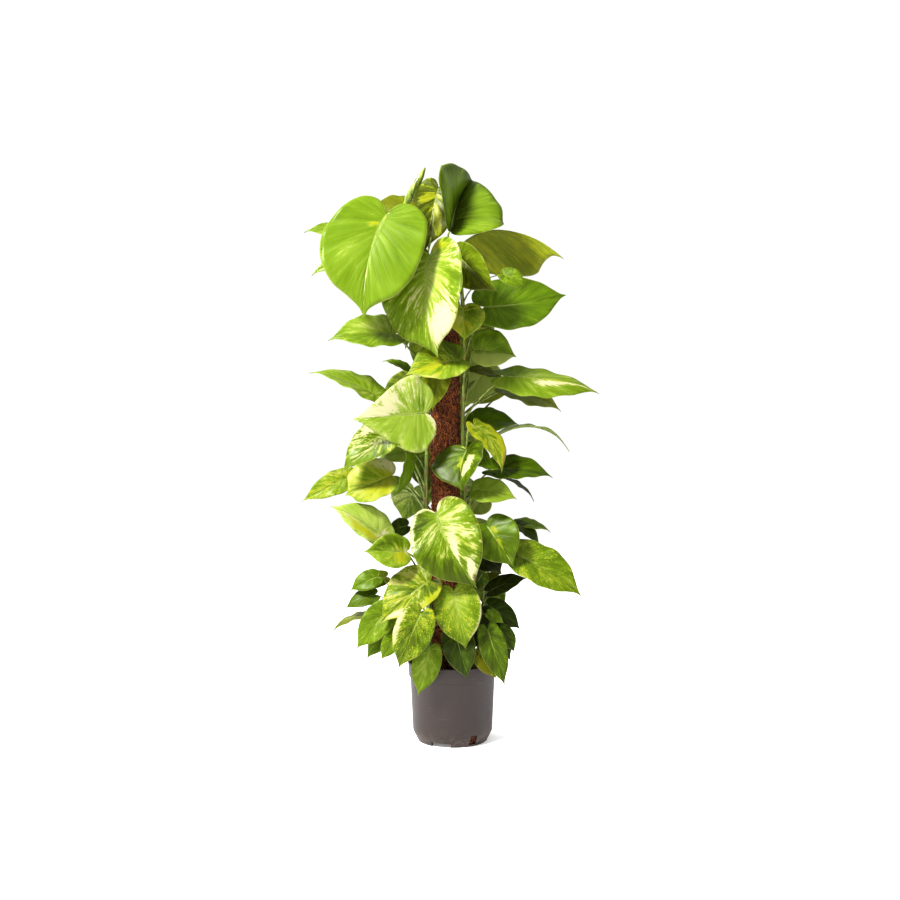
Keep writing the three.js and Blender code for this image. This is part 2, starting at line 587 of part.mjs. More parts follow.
// The soil fills the pot and stands a hair clear of it; pole and stems stand in plain holes.
function soilSolid() {
  const side = wallLine(POT.wall + SOIL.clearance);
  side[0][1] = POT.floor + GAP;
  side[4] = [side[3][0], SOIL.edge];
  const dome = [0.8, 0.55, 0.3].map((part) => {
    return [part * POT.collarRadius, SOIL.edge + SOIL.dome * (1 - part * part)];
  });
  const dish = POT.dishRadius - POT.wall - SOIL.clearance;
  const low = POT.floor - POT.channelTop + GAP;
  const foot = [[0, low], [dish, low], [dish, side[0][1]]];
  const profile = [...foot, ...side, ...dome, [0, SOIL.edge + SOIL.dome]];
  const geometry = new THREE.LatheGeometry(profile.map((p) => new THREE.Vector2(...p)), SOIL.sides);
  geometry.rotateX(Math.PI / 2);
  const corners = geometry.attributes.position;
  for (let i = 0; i < corners.count; i++) {
    if (corners.getZ(i) < SOIL.edge + 0.1) continue;
    const lump = Math.sin(corners.getX(i) / 7) * Math.cos(corners.getY(i) / 6 + 1);
    corners.setZ(i, corners.getZ(i) + SOIL.lumps * lump);
  }
  let soil = toSolid(geometry);
  for (const stem of Object.values(stems)) {
    soil = soil.subtract(stemSolid(stem, GAP));
  }
  const sleeveRoom = POLE.radius + POLE.lumps + GAP;
  soil = soil.subtract(poleBar(sleeveRoom, POLE.bottom - GAP, SOIL.edge + 20, POLE.sides));
  return soil.subtract(poleBar(STAKE.radius + GAP, 0, POLE.bottom, STAKE.sides));
}

function poleBar(radius, low, high, sides) {
  const length = high - low;
  const rod = new THREE.CylinderGeometry(radius, radius, length, sides);
  rod.rotateX(Math.PI / 2);
  rod.translate(POLE.x, POLE.y, low + length / 2);
  return toSolid(rod);
}

// Coir sleeve: a fibrous round wall with a lumpy outside, open at both ends round the stake.
function coirSolid() {
  const length = POLE.top - POLE.bottom;
  const sleeve = new THREE.CylinderGeometry(POLE.radius, POLE.radius, length, POLE.sides, POLE.rows);
  sleeve.rotateX(Math.PI / 2);
  sleeve.translate(0, 0, POLE.bottom + length / 2);
  const corners = sleeve.attributes.position;
  for (let i = 0; i < corners.count; i++) {
    const [x, y, z] = [corners.getX(i), corners.getY(i), corners.getZ(i)];
    const around = Math.atan2(y, x);
    const lump = Math.sin(3 * around + z / 23) * Math.cos(z / 17);
    const grown = 1 + (POLE.lumps * lump) / POLE.radius;
    corners.setXYZ(i, POLE.x + x * grown, POLE.y + y * grown, z);
  }
  const bore = poleBar(STAKE.radius + GAP, POLE.bottom - 5, POLE.top + 5, STAKE.sides);
  return toSolid(sleeve).subtract(bore);
}

// Stake: a round rod with a blunt point at its foot.
function stakeSolid() {
  const profile = [
    [0, STAKE.bottom],
    [STAKE.tipRadius, STAKE.bottom],
    [STAKE.radius, STAKE.bottom + STAKE.point],
    [STAKE.radius, STAKE.top - STAKE.edge],
    [STAKE.radius - STAKE.edge, STAKE.top],
    [0, STAKE.top],
  ];
  return turned(profile, STAKE.sides).translate([POLE.x, POLE.y, 0]);
}

// Binding twine: one long winding of thread up the sleeve.
function twineSolid() {
  const steps = TWINE.steps * TWINE.turns;
  const radius = (POLE.radius + POLE.lumps + TWINE.radius + GAP) / Math.cos(Math.PI / TWINE.steps);
  const points = [];
  for (let i = 0; i <= steps; i++) {
    const turn = (2 * Math.PI * i) / TWINE.steps;
    const height = TWINE.start + (TWINE.pitch * i) / TWINE.steps;
    const [x, y] = [POLE.x + radius * Math.cos(turn), POLE.y + radius * Math.sin(turn)];
    points.push(new THREE.Vector3(x, y, height));
  }
  return bar(points, points.map(() => TWINE.radius), 3);
}

const plain = (color, roughness) => new THREE.MeshStandardMaterial({ color, roughness, metalness: 0 });
addPiece("pot", potSolid(), plain(0x645c60, 0.6));
addPiece("soil", soilSolid(), plain(0x2e2018, 0.95));
addPiece("coir_sleeve", coirSolid(), plain(0x7a4a2c, 0.95));
addPiece("pole_stake", stakeSolid(), plain(0xb08c5c, 0.8));
addPiece("binding_twine", twineSolid(), plain(0x8c6a40, 0.9));

const greens = [0x4f8a24, 0x8fb43a, 0x39701f, 0x6fa02e, 0xa3bf4a, 0x2f6420];
const leafMaterials = greens.map((color) => plain(color, 0.4));
const stemMaterial = plain(0x7f9a45, 0.5);

// Climbing stems and shoots, each with the small leaves that grow from it.
for (const [name, stem] of Object.entries(stems)) {
  const pieces = [stemSolid(stem)];
  for (const row of SMALL_LEAVES.filter((small) => small[0] === name)) {
    const leaf = readLeaf(row, WAVE.small);
    pieces.push(bladeSolid(leaf, leaf.width > 45 ? 5 : 4, 1));
    pieces.push(stalkSolid(leaf, STALK.small, 3));
  }
  const side = BACK_LEAVES.stems.indexOf(name);
  for (let i = 0; side >= 0 && i < BACK_LEAVES.each; i++) {
    const leaf = backLeaf(stem, side, i);
    pieces.push(bladeSolid(leaf, 5, 1));
    pieces.push(stalkSolid(leaf, STALK.rear, 3));
  }
  if (name === "vine_4") pieces.push(newLeafSolid());
  addPiece(name, wasm.Manifold.union(pieces).simplify(FINE), stemMaterial);
}

// Large leaves, each with its stalk seated against its stem.
LARGE_LEAVES.forEach(([name, ...row], i) => {
  const leaf = readLeaf(row, WAVE.large);
  const whole = bladeSolid(leaf, leaf.width > 120 ? 6 : 5, 2).add(stalkSolid(leaf, STALK.large, 4));
  const cut = whole.subtract(stemSolid(stems[row[0]], GAP + FINE));
  const bodies = cut.simplify(FINE).decompose().sort((a, b) => b.volume() - a.volume());
  addPiece(name, bodies[0], leafMaterials[i % leafMaterials.length]);
});

export default group;
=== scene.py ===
"""A potted golden pothos on its coir pole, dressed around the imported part.

The part stands in metres, +Z up, and the viewer is at -Y. Lengths in the tables are in
millimetres, as a grower would measure them, and mm() turns them into metres.
"""

import math
import random

import bmesh
import bpy
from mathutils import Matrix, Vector, noise


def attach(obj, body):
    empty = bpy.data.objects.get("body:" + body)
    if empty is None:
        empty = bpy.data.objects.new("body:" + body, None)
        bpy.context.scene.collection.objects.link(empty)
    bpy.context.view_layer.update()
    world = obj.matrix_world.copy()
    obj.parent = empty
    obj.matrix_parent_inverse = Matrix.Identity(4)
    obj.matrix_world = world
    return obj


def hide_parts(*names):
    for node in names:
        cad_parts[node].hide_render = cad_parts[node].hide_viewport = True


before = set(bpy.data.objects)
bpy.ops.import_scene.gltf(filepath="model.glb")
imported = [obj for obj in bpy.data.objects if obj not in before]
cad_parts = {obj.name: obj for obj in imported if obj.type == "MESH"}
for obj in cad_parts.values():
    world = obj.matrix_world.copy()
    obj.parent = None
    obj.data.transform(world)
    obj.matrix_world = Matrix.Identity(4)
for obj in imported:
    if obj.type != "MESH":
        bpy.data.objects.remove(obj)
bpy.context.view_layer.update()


def mm(*lengths):
    """Millimetres as metres: one number, or a point of three."""
    return lengths[0] / 1000 if len(lengths) == 1 else Vector(lengths) / 1000


# The photographer stands level with the middle of the plant, 2.1 m in front of the pole and a
# hair to the left of it, and looks straight ahead through a slightly long lens.
EYE = mm(-5, -2100, 576)
camera = bpy.data.objects.new("viewer", bpy.data.cameras.new("viewer"))
camera.data.lens = 42
camera.data.sensor_width = 36
camera.data.clip_end = 30
camera.location = EYE
camera.rotation_euler = (math.radians(90), 0, 0)
bpy.context.scene.collection.objects.link(camera)
bpy.context.scene.camera = camera


# The studio: a white paper floor under an even white sky, one soft lamp high on the left in
# front, which throws the shade of the top leaf on the one below it, and a weaker one behind.
def paint(code):
    """A colour written as on a paint chart, in the linear values that shaders use."""
    parts = [int(code[i : i + 2], 16) / 255 for i in (0, 2, 4)]
    return [p / 12.92 if p <= 0.04045 else ((p + 0.055) / 1.055) ** 2.4 for p in parts] + [1]


SKY_STRENGTH = 0.8
LAMPS = {
    "window_lamp": {"at": (-1500, -1700, 2600), "size": 550, "watts": 165},
    "back_lamp": {"at": (-1200, 1600, 2200), "size": 1000, "watts": 26},
}
PLANT_MIDDLE = mm(0, 0, 600)
FLOOR = {"half": 4500, "below": 0.4}

sky = bpy.data.worlds.new("studio_sky")
sky.use_nodes = True
sky.node_tree.nodes["Background"].inputs["Color"].default_value = (1, 1, 1, 1)
sky.node_tree.nodes["Background"].inputs["Strength"].default_value = SKY_STRENGTH
bpy.context.scene.world = sky
print_look = bpy.context.scene.view_settings
print_look.view_transform = "Standard"
print_look.exposure = 0.35
print_look.gamma = 0.8

for lamp_name, lamp in LAMPS.items():
    light = bpy.data.lights.new(lamp_name, "AREA")
    light.energy = lamp["watts"]
    light.size = mm(lamp["size"])
    holder = bpy.data.objects.new(lamp_name, light)
    holder.location = mm(*lamp["at"])
    aim = PLANT_MIDDLE - holder.location
    holder.rotation_euler = aim.to_track_quat("-Z", "Y").to_euler()
    bpy.context.scene.collection.objects.link(holder)


class Finish:
    """A material in the making. add() puts in a node, and its inputs are values or sockets, given
    by name, or by number as _0 where a node has several of one name."""

    def __init__(self, name):
        self.material = bpy.data.materials.new(name)
        self.material.use_nodes = True
        self.tree = self.material.node_tree
        self.shader = self.tree.nodes["Principled BSDF"]

    def add(self, kind, settings=None, **inputs):
        node = self.tree.nodes.new("ShaderNode" + kind)
        for key, value in (settings or {}).items():
            setattr(node, key, value)
        for key, value in inputs.items():
            self.set(node, int(key[1:]) if key[0] == "_" else key.replace("_", " "), value)
        return node

    def set(self, node, key, value):
        if isinstance(value, bpy.types.NodeSocket):
            self.tree.links.new(value, node.inputs[key])
        else:
            node.inputs[key].default_value = value

    def math(self, operation, *values):
        inputs = {f"_{i}": value for i, value in enumerate(values)}
        return self.add("Math", {"operation": operation}, **inputs).outputs[0]

    def plus(self, first, second):
        return self.math("ADD", first, second)

    def minus(self, first, second):
        return self.math("SUBTRACT", first, second)

    def times(self, first, second):
        return self.math("MULTIPLY", first, second)

    def scaled(self, value, by, plus):
        return self.math("MULTIPLY_ADD", value, by, plus)

    def step(self, value, low, high):
        """0 below low, 1 above high, and smooth in between."""
        smooth = {"interpolation_type": "SMOOTHSTEP"}
        return self.add("MapRange", smooth, _0=value, _1=low, _2=high).outputs[0]

    def mix(self, share, first, second, blend="MIX"):
        settings = {"data_type": "RGBA", "blend_type": blend}
        return self.add("Mix", settings, _0=share, _6=first, _7=second).outputs[2]

    def noise(self, scale, detail=4.0, roughness=0.55, vector=None, distortion=0.0):
        inputs = {"Scale": scale, "Detail": detail, "Roughness": roughness, "Distortion": distortion}
        if vector is not None:
            inputs["Vector"] = vector
        return self.add("TexNoise", **inputs).outputs["Fac"]

    def place(self):
        return self.add("TexCoord").outputs["Object"]

    def stretched(self, x, y, z, vector=None):
        """The piece's own coordinates, made closer or wider along each axis."""
        vector = vector or self.place()
        return self.add("Mapping", Vector=vector, Scale=(x, y, z)).outputs[0]

    def bump(self, height, strength, distance):
        node = self.add("Bump", Height=height, Strength=strength, Distance=distance)
        self.set(self.shader, "Normal", node.outputs[0])

    def shade(self, **inputs):
        for key, value in inputs.items():
            self.set(self.shader, key.replace("_", " "), value)
        return self.material


def paper_finish():
    """White background paper with a faint mottle."""
    finish = Finish("background_paper")
    mottle = finish.noise(1.5, 3)
    colour = finish.mix(mottle, paint("fbfbfa"), paint("ffffff"))
    return finish.shade(
        Base_Color=colour, Roughness=0.85, Emission_Color=(1, 1, 1, 1), Emission_Strength=0.2
    )


def linked(name, mesh):
    piece = bpy.data.objects.new(name, mesh)
    bpy.context.scene.collection.objects.link(piece)
    return piece


def shaped(name, shape, *finishes):
    """A piece made of a worked shape, with its finishes in the order of their numbers."""
    mesh = bpy.data.meshes.new(name)
    shape.to_mesh(mesh)
    for finish in finishes:
        mesh.materials.append(finish)
    return linked(name, mesh)


floor_mesh = bpy.data.meshes.new("studio_floor")
half = mm(FLOOR["half"])
floor_mesh.from_pydata(
    [(-half, -half, 0), (half, -half, 0), (half, half, 0), (-half, half, 0)], [], [(0, 1, 2, 3)]
)
floor_mesh.materials.append(paper_finish())
floor = linked("studio_floor", floor_mesh)
floor.location.z = -mm(FLOOR["below"])


# The pot: a 17 cm nursery pot of thin taupe plastic, injection moulded in one piece. It has a
# stiffening collar under a rolled rim, a tapered wall, and a chamfered foot ring. Round its dished
# floor runs a channel, and three drain slots and three arches open into it to let water out.
POT = {"height": 155, "rim": 89, "collar": 87.2, "collar_foot": 127, "shoulder": 84.2, "foot": 79}
POT_FOOT = {"chamfer": 20, "base": 69, "floor": 11, "channel": 8.5, "ring": 62, "dish": 46, "wall": 2}
WALL_BENDS = (
    ("foot", -2.2, "chamfer", -4.5), ("foot", -0.4, "chamfer", -0.6), ("foot", 0.1, "chamfer", 2.5),
    ("shoulder", 0, "collar_foot", -2.2), ("shoulder", 0.6, "collar_foot", -1.2),
    ("collar", -0.5, "collar_foot", -0.4), ("collar", 0, "collar_foot", 0.6),
    ("rim", -0.7, "height", -4.2), ("rim", 0, "height", -3.4), ("rim", 0, "height", -0.8),
)
LIP_ROUND = 0.7
DRAIN_SLOTS = {"count": 3, "first": -88, "width": 15, "low": 4, "high": 22, "near": 60}
FOOT_ARCHES = {"count": 3, "first": -19, "width": 40, "low": -8, "high": 8, "near": 52}
PUNCH_PAST_RIM = 10
POT_SEGMENTS = 144
CREASE = 35


def pot_wall(inset):
    """The wall's line from foot to rim, set in from the outside. Each bend in it stands a little
    off one of the pot's radii and one of its levels."""
    sizes = {**POT, **POT_FOOT}
    line = [(POT_FOOT["base"] - inset, POT_FOOT["floor"] if inset else 0)]
    line += [(sizes[radius] - inset + out, sizes[level] + up) for radius, out, level, up in WALL_BENDS]
    line.append((POT["rim"] - inset - (0 if inset else LIP_ROUND), POT["height"]))
    return line


def lathe(mesh, profile, segments):
    """Turns a closed line of (radius, height) in millimetres round the upright axis."""
    rings = []
    for radius, height in profile:
        if radius == 0:
            rings.append([mesh.verts.new(mm(0, 0, height))])
            continue
        turns = [2 * math.pi * k / segments for k in range(segments)]
        rings.append([mesh.verts.new(mm(radius * math.cos(a), radius * math.sin(a), height)) for a in turns])
    for ring, above in zip(rings, rings[1:] + rings[:1]):
        for k in range(segments):
            corners = [ring[k % len(ring)], ring[(k + 1) % len(ring)]]
            corners += [above[(k + 1) % len(above)], above[k % len(above)]]
            corners = list(dict.fromkeys(corners))
            if len(corners) > 2:
                mesh.faces.new(corners)
    bmesh.ops.recalc_face_normals(mesh, faces=mesh.faces)


def smoothed(mesh):
    """Smooth shading, with crisp edges where the surface turns by more than a crease."""
    mesh.shade_smooth()
    mesh.set_sharp_from_angle(angle=math.radians(CREASE))


def punches(cut):
    """Blocks that reach in from outside the pot towards its axis, all in one mesh."""
    mesh = bmesh.new()
    for i in range(cut["count"]):
        turn = math.radians(cut["first"] + 360 * i / cut["count"])
        out = Vector((math.sin(turn), -math.cos(turn), 0))
        side = Vector((math.cos(turn), math.sin(turn), 0))
        corners = []
        for reach in (cut["near"], POT["rim"] + PUNCH_PAST_RIM):
            for across in (-cut["width"] / 2, cut["width"] / 2):
                for height in (cut["low"], cut["high"]):
                    place = (out * reach + side * across + Vector((0, 0, height))) / 1000
                    corners.append(mesh.verts.new(place))
        for face in ((0, 1, 3, 2), (4, 6, 7, 5), (0, 4, 5, 1), (2, 3, 7, 6), (0, 2, 6, 4), (1, 5, 7, 3)):
            mesh.faces.new([corners[k] for k in face])
    bmesh.ops.recalc_face_normals(mesh, faces=mesh.faces)
    return shaped("punches", mesh)


def pot_finish():
    """Matt taupe plastic: moulding mottle, dust that has settled low down, and rubbed edges."""
    finish = Finish("pot_plastic")
    height = finish.add("SeparateXYZ", Vector=finish.place()).outputs["Z"]
    mottle = finish.noise(22, 5)
    speck = finish.noise(420, 3, 0.7)
    scuff = finish.noise(30, 4, 0.6, finish.stretched(1, 1, 9), 0.6)
    colour = finish.mix(mottle, paint("2b211e"), paint("352a26"))
    colour = finish.mix(finish.times(finish.step(scuff, 0.6, 0.78), 0.35), colour, paint("5a514d"))
    dust = finish.times(finish.step(height, 0.04, 0.0), finish.step(mottle, 0.4, 0.65))
    colour = finish.mix(finish.times(dust, 0.5), colour, paint("5d4a3b"))
    rough = finish.scaled(mottle, 0.18, 0.4)
    finish.bump(finish.plus(speck, finish.times(mottle, 0.6)), 0.12, 0.0006)
    return finish.shade(Base_Color=colour, Roughness=rough)


basin = POT_FOOT["dish"] - POT_FOOT["wall"]
skin = POT_FOOT["floor"] - POT_FOOT["channel"]
underside = [
    (basin, POT_FOOT["floor"]), (basin, skin), (0, skin), (0, 0), (POT_FOOT["dish"], 0),
    (POT_FOOT["dish"], POT_FOOT["channel"]), (POT_FOOT["ring"], POT_FOOT["channel"]),
    (POT_FOOT["ring"], 0),
]
pot_shape = bmesh.new()
lathe(pot_shape, pot_wall(0) + pot_wall(POT_FOOT["wall"])[::-1] + underside, POT_SEGMENTS)
blank = shaped("nursery_pot_blank", pot_shape)
cutters = [punches(DRAIN_SLOTS), punches(FOOT_ARCHES)]
for i, cutter in enumerate(cutters):
    cutting = blank.modifiers.new(f"cut_{i}", "BOOLEAN")
    cutting.object = cutter
    cutting.solver = "EXACT"
cut_pot = bpy.data.meshes.new_from_object(blank.evaluated_get(bpy.context.evaluated_depsgraph_get()))
for spent in (blank, *cutters):
    bpy.data.objects.remove(spent)
cut_pot.materials.clear()
cut_pot.materials.append(pot_finish())
smoothed(cut_pot)
nursery_pot = linked("nursery_pot", cut_pot)
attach(nursery_pot, "root")
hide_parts("pot")


# The potting soil: peat with shreds of bark and a few white grains of perlite, pressed down by
# watering. It fills the pot to two centimetres below the rim, and its foot shows in the slots.
SOIL = {
    "edge": 137, "dome": 8, "clearance": 0.8, "bed": 0.3, "lumps": 1.6, "lump_size": 9, "slice": 3,
}
SOIL_RINGS = 26
SOIL_SEGMENTS = 90
EDGE_BAND = 1
LUMP_LAYERS = (0.8, 2.1, 4)
CRUMBS = {
    "count": 1500, "reach": 79, "proud": 0.3, "bark": (0.7, 3.1), "perlite": (0.9, 1.9),
    "perlite_every": 14,
}
CRUMB_FORM = {"broad": (0.5, 1.4), "flat": (0.35, 0.8), "corner": (0.75, 1.2)}
SLOT_ROOTS = {
    "count": 55, "spread": 0.42, "over": 2, "under": 1, "depth": (2.5, 6), "size": (1.2, 2.6),
}
dice = random.Random(11)


def soil_height(x, y):
    """The lumpy top of the soil at a place, all in millimetres."""
    part = min(1, math.hypot(x, y) / POT["collar"])
    lumps = noise.fractal(Vector((x, y, SOIL["slice"])) / SOIL["lump_size"], *LUMP_LAYERS)
    return SOIL["edge"] + SOIL["dome"] * (1 - part * part) + SOIL["lumps"] * lumps


def soil_finish():
    """Damp dark peat with paler shreds."""
    finish = Finish("potting_soil")
    clod = finish.noise(90, 6, 0.65)
    shred = finish.noise(260, 3, 0.6, finish.stretched(1, 3, 1))
    colour = finish.mix(clod, paint("1d120b"), paint("4a3020"))
    colour = finish.mix(finish.step(shred, 0.62, 0.72), colour, paint("7a5638"))
    finish.bump(finish.plus(clod, shred), 0.7, 0.002)
    return finish.shade(Base_Color=colour, Roughness=0.93)


def perlite_finish():
    """Chalky white volcanic grains, stained by peat."""
    finish = Finish("perlite")
    stain = finish.noise(300, 4)
    finish.bump(stain, 0.6, 0.001)
    return finish.shade(Base_Color=finish.mix(stain, paint("b9aa95"), paint("efe9dd")), Roughness=0.9)


def root_finish():
    """Old roots and bark that have grown and washed into the drain slots, rusty brown."""
    finish = Finish("slot_roots")
    rust = finish.noise(220, 4)
    finish.bump(rust, 0.6, 0.001)
    return finish.shade(Base_Color=finish.mix(rust, paint("35140b"), paint("82452a")), Roughness=0.9)


def crumb(mesh, place, size, material):
    """One crumb of bark, root or perlite: a small lump with uneven corners."""
    made = bmesh.ops.create_icosphere(mesh, subdivisions=1, radius=size)
    stretch = Vector([dice.uniform(*CRUMB_FORM[way]) for way in ("broad", "broad", "flat")])
    for vert in made["verts"]:
        uneven = dice.uniform(*CRUMB_FORM["corner"])
        vert.co = Vector(a * b for a, b in zip(vert.co, stretch)) * uneven + place
    for face in {face for vert in made["verts"] for face in vert.link_faces}:
        face.material_index = material


soil_shape = bmesh.new()
room = POT_FOOT["wall"] + SOIL["clearance"]
in_dish = basin - SOIL["clearance"]
on_floor = POT_FOOT["floor"] + SOIL["bed"]
sides = [(0, skin + SOIL["bed"]), (in_dish, skin + SOIL["bed"]), (in_dish, on_floor)]
sides += [(radius, max(height, on_floor)) for radius, height in pot_wall(room) if height < SOIL["edge"]]
brim = sides[-1][0]
sides[-1] = (brim, SOIL["edge"])
top = [(brim * (1 - k / SOIL_RINGS), SOIL["edge"]) for k in range(1, SOIL_RINGS + 1)]
lathe(soil_shape, sides + top, SOIL_SEGMENTS)
for vert in soil_shape.verts:
    x, y, z = vert.co * 1000
    if z > SOIL["edge"] - EDGE_BAND and math.hypot(x, y) < brim - EDGE_BAND:
        vert.co.z = mm(soil_height(x, y))
for face in soil_shape.faces:
    face.smooth = True
for i in range(CRUMBS["count"]):
    turn = dice.uniform(0, 2 * math.pi)
    reach = CRUMBS["reach"] * math.sqrt(dice.random())
    x, y = reach * math.cos(turn), reach * math.sin(turn)
    white = i % CRUMBS["perlite_every"] == 0
    size = mm(dice.uniform(*CRUMBS["perlite" if white else "bark"]))
    crumb(soil_shape, mm(x, y, soil_height(x, y) + CRUMBS["proud"]), size, 1 if white else 0)
for i in range(DRAIN_SLOTS["count"] * SLOT_ROOTS["count"]):
    turn = math.radians(DRAIN_SLOTS["first"] + 360 * (i % DRAIN_SLOTS["count"]) / DRAIN_SLOTS["count"])
    across = dice.uniform(-SLOT_ROOTS["spread"], SLOT_ROOTS["spread"]) * DRAIN_SLOTS["width"]
    height = dice.uniform(DRAIN_SLOTS["low"] + SLOT_ROOTS["over"], DRAIN_SLOTS["high"] - SLOT_ROOTS["under"])
    wall = POT_FOOT["base"] + (POT["foot"] - POT_FOOT["base"]) * height / POT_FOOT["chamfer"]
    reach = wall - dice.uniform(*SLOT_ROOTS["depth"])
    x = reach * math.sin(turn) + across * math.cos(turn)
    y = across * math.sin(turn) - reach * math.cos(turn)
    crumb(soil_shape, mm(x, y, height), mm(dice.uniform(*SLOT_ROOTS["size"])), 2)
potting_mix = shaped("potting_mix", soil_shape, soil_finish(), perlite_finish(), root_finish())
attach(potting_mix, "root")
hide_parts("soil")


# The pole: a sleeve of red-brown coconut fibre, needled into a felt and wrapped round a wooden
# stake. Loose strands stand off the felt, lit orange on the left and nearly black low down.
POLE = {"x": -14, "y": 0, "radius": 26.5, "bottom": 30, "top": 886, "bore": 10.8}
COIR_AROUND = 110
COIR_UP = 430
KNOBS = {
    "around": 4.2, "up": 9, "coarse": 3.4, "fine": 1.1, "closer": 2.4, "sunk": 1.8, "low": -2.4,
    "high": 3.4,
}
COARSE_LAYERS = (0.9, 2.2, 4)
FINE_LAYERS = (0.8, 2.1, 3, 0.9, 2)
BELLY = {"out": 3.6, "height": 600, "spread": 130}
STRANDS = {
    "count": 1500, "above_foot": 70, "below_top": 4, "past_top": 3, "length": (8, 22), "points": 5,
    "off_felt": 0.2, "bow": 3, "loose_end": 1.5, "thickness": (0.3, 0.9), "corners": 3,
}


def coir_finish():
    """Matted coconut fibre: rusty strands over painted shade in the hollows between them, pale orange
    strands that are partly painted highlight, and deeper brown patches here and there.
    """
    finish = Finish("coir_fibre")
    fibre_and_gap_shade = finish.noise(210, 5, 0.7, finish.stretched(1, 1, 0.7), 0.8)
    strand_and_highlight = finish.noise(460, 3, 0.6, finish.stretched(1, 1, 0.4), 1.6)
    clump = finish.noise(26, 4)
    # The near-black ground is painted shade in the hollows between the fibres.
    colour = finish.mix(finish.step(fibre_and_gap_shade, 0.44, 0.58), paint("120401"), paint("6e2f0e"))
    # The pale orange strands are partly the fibre's own colour and partly painted highlight.
    colour = finish.mix(finish.step(strand_and_highlight, 0.53, 0.6), colour, paint("cc7c3a"))
    colour = finish.mix(finish.step(clump, 0.58, 0.3), colour, finish.mix(0.65, colour, paint("1c0d08")))
    finish.bump(finish.plus(fibre_and_gap_shade, strand_and_highlight), 1.0, 0.003)
    return finish.shade(Base_Color=colour, Roughness=0.95)


def strand_finish():
    """A single dry coconut fibre, from rust red to straw."""
    finish = Finish("coir_strand")
    hue = finish.noise(38, 2)
    colour = finish.mix(finish.step(hue, 0.35, 0.65), paint("4e1f08"), paint("b87434"))
    return finish.shade(Base_Color=colour, Roughness=0.8)


def pole_point(turn, height, radius):
    return mm(POLE["x"] + radius * math.cos(turn), POLE["y"] + radius * math.sin(turn), height)


def coir_radius(turn, height):
    """The felt's uneven outside, in millimetres."""
    at = Vector((math.cos(turn) * KNOBS["around"], math.sin(turn) * KNOBS["around"], height / KNOBS["up"]))
    knobs = KNOBS["coarse"] * noise.fractal(at, *COARSE_LAYERS)
    knobs += KNOBS["fine"] * noise.ridged_multi_fractal(at * KNOBS["closer"], *FINE_LAYERS)
    belly = BELLY["out"] * math.exp(-(((height - BELLY["height"]) / BELLY["spread"]) ** 2))
    return POLE["radius"] + belly + min(KNOBS["high"], max(KNOBS["low"], knobs - KNOBS["sunk"]))


NEARLY_PARALLEL = 0.9


def tube(mesh, points, radii, corners, material=0, overlap=0):
    """A closed bar through points in metres, with a radius at each of them. With an overlap it
    is rolled up like a leaf in bud: the radius grows round it and drops back at a seam."""
    rings = []
    across = Vector((1, 0, 0))
    for i, point in enumerate(points):
        along = (points[min(i + 1, len(points) - 1)] - points[max(i - 1, 0)]).normalized()
        if i == 0 and abs(along.x) > NEARLY_PARALLEL:
            across = Vector((0, 0, 1))
        across = (across - along * across.dot(along)).normalized()
        other = along.cross(across)
        ring = []
        for k in range(corners):
            turn = 2 * math.pi * k / corners
            reach = radii[i] * (1 - overlap * k / corners)
            ring.append(mesh.verts.new(point + (across * math.cos(turn) + other * math.sin(turn)) * reach))
        rings.append(ring)
    faces = [mesh.faces.new(rings[0][::-1]), mesh.faces.new(rings[-1])]
    for ring, above in zip(rings, rings[1:]):
        for k in range(corners):
            after = (k + 1) % corners
            faces.append(mesh.faces.new((ring[k], ring[after], above[after], above[k])))
    for face in faces:
        face.material_index = material
        face.smooth = True


coir_shape = bmesh.new()
turns = [2 * math.pi * k / COIR_AROUND for k in range(COIR_AROUND)]
felt = []
for j in range(COIR_UP + 1):
    height = POLE["bottom"] + (POLE["top"] - POLE["bottom"]) * j / COIR_UP
    felt.append([coir_shape.verts.new(pole_point(a, height, coir_radius(a, height))) for a in turns])
for height, spot in ((POLE["top"], len(felt)), (POLE["bottom"], 0)):
    felt.insert(spot, [coir_shape.verts.new(pole_point(a, height, POLE["bore"])) for a in turns])
for ring, above in zip(felt, felt[1:] + felt[:1]):
    for k in range(COIR_AROUND):
        after = (k + 1) % COIR_AROUND
        coir_shape.faces.new((ring[k], ring[after], above[after], above[k])).smooth = True
last = STRANDS["points"] - 1
for i in range(STRANDS["count"]):
    turn = dice.uniform(0, 2 * math.pi)
    height = dice.uniform(POLE["bottom"] + STRANDS["above_foot"], POLE["top"] - STRANDS["below_top"])
    lean = dice.uniform(-1, 1)
    length = dice.uniform(*STRANDS["length"])
    points = []
    for k in range(STRANDS["points"]):
        part = k / last
        around = turn + lean * part * length / POLE["radius"]
        up = min(height + (1 - abs(lean)) * part * length, POLE["top"] + STRANDS["past_top"])
        lift = STRANDS["off_felt"] + STRANDS["bow"] * dice.random() * math.sin(math.pi * part)
        lift += STRANDS["loose_end"] * (k == last)
        points.append(pole_point(around, up, coir_radius(around, up) + lift))
    thickness = mm(dice.uniform(*STRANDS["thickness"]))
    tube(coir_shape, points, [thickness] * STRANDS["points"], STRANDS["corners"], 1)
bmesh.ops.recalc_face_normals(coir_shape, faces=coir_shape.faces)
coir_felt = shaped("coir_felt", coir_shape, coir_finish(), strand_finish())
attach(coir_felt, "root")
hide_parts("coir_sleeve")


# The stake inside the sleeve: a turned softwood dowel with a blunt point. Only its top end shows,
# a finger's width above the coir.
STAKE = {"radius": 10.5, "bottom": 14, "top": 900, "point": 24, "tip": 3, "edge": 1.5}
STAKE_SEGMENTS = 40


def dowel_finish():
    """Pale softwood with fine grain along it, gone grey at the top."""
    finish = Finish("stake_wood")
    grain = finish.noise(240, 5, 0.6, finish.stretched(1, 1, 0.05), 0.4)
    colour = finish.mix(finish.step(grain, 0.35, 0.68), paint("c9a777"), paint("7d5c38"))
    finish.bump(grain, 0.3, 0.0006)
    return finish.shade(Base_Color=colour, Roughness=0.78)


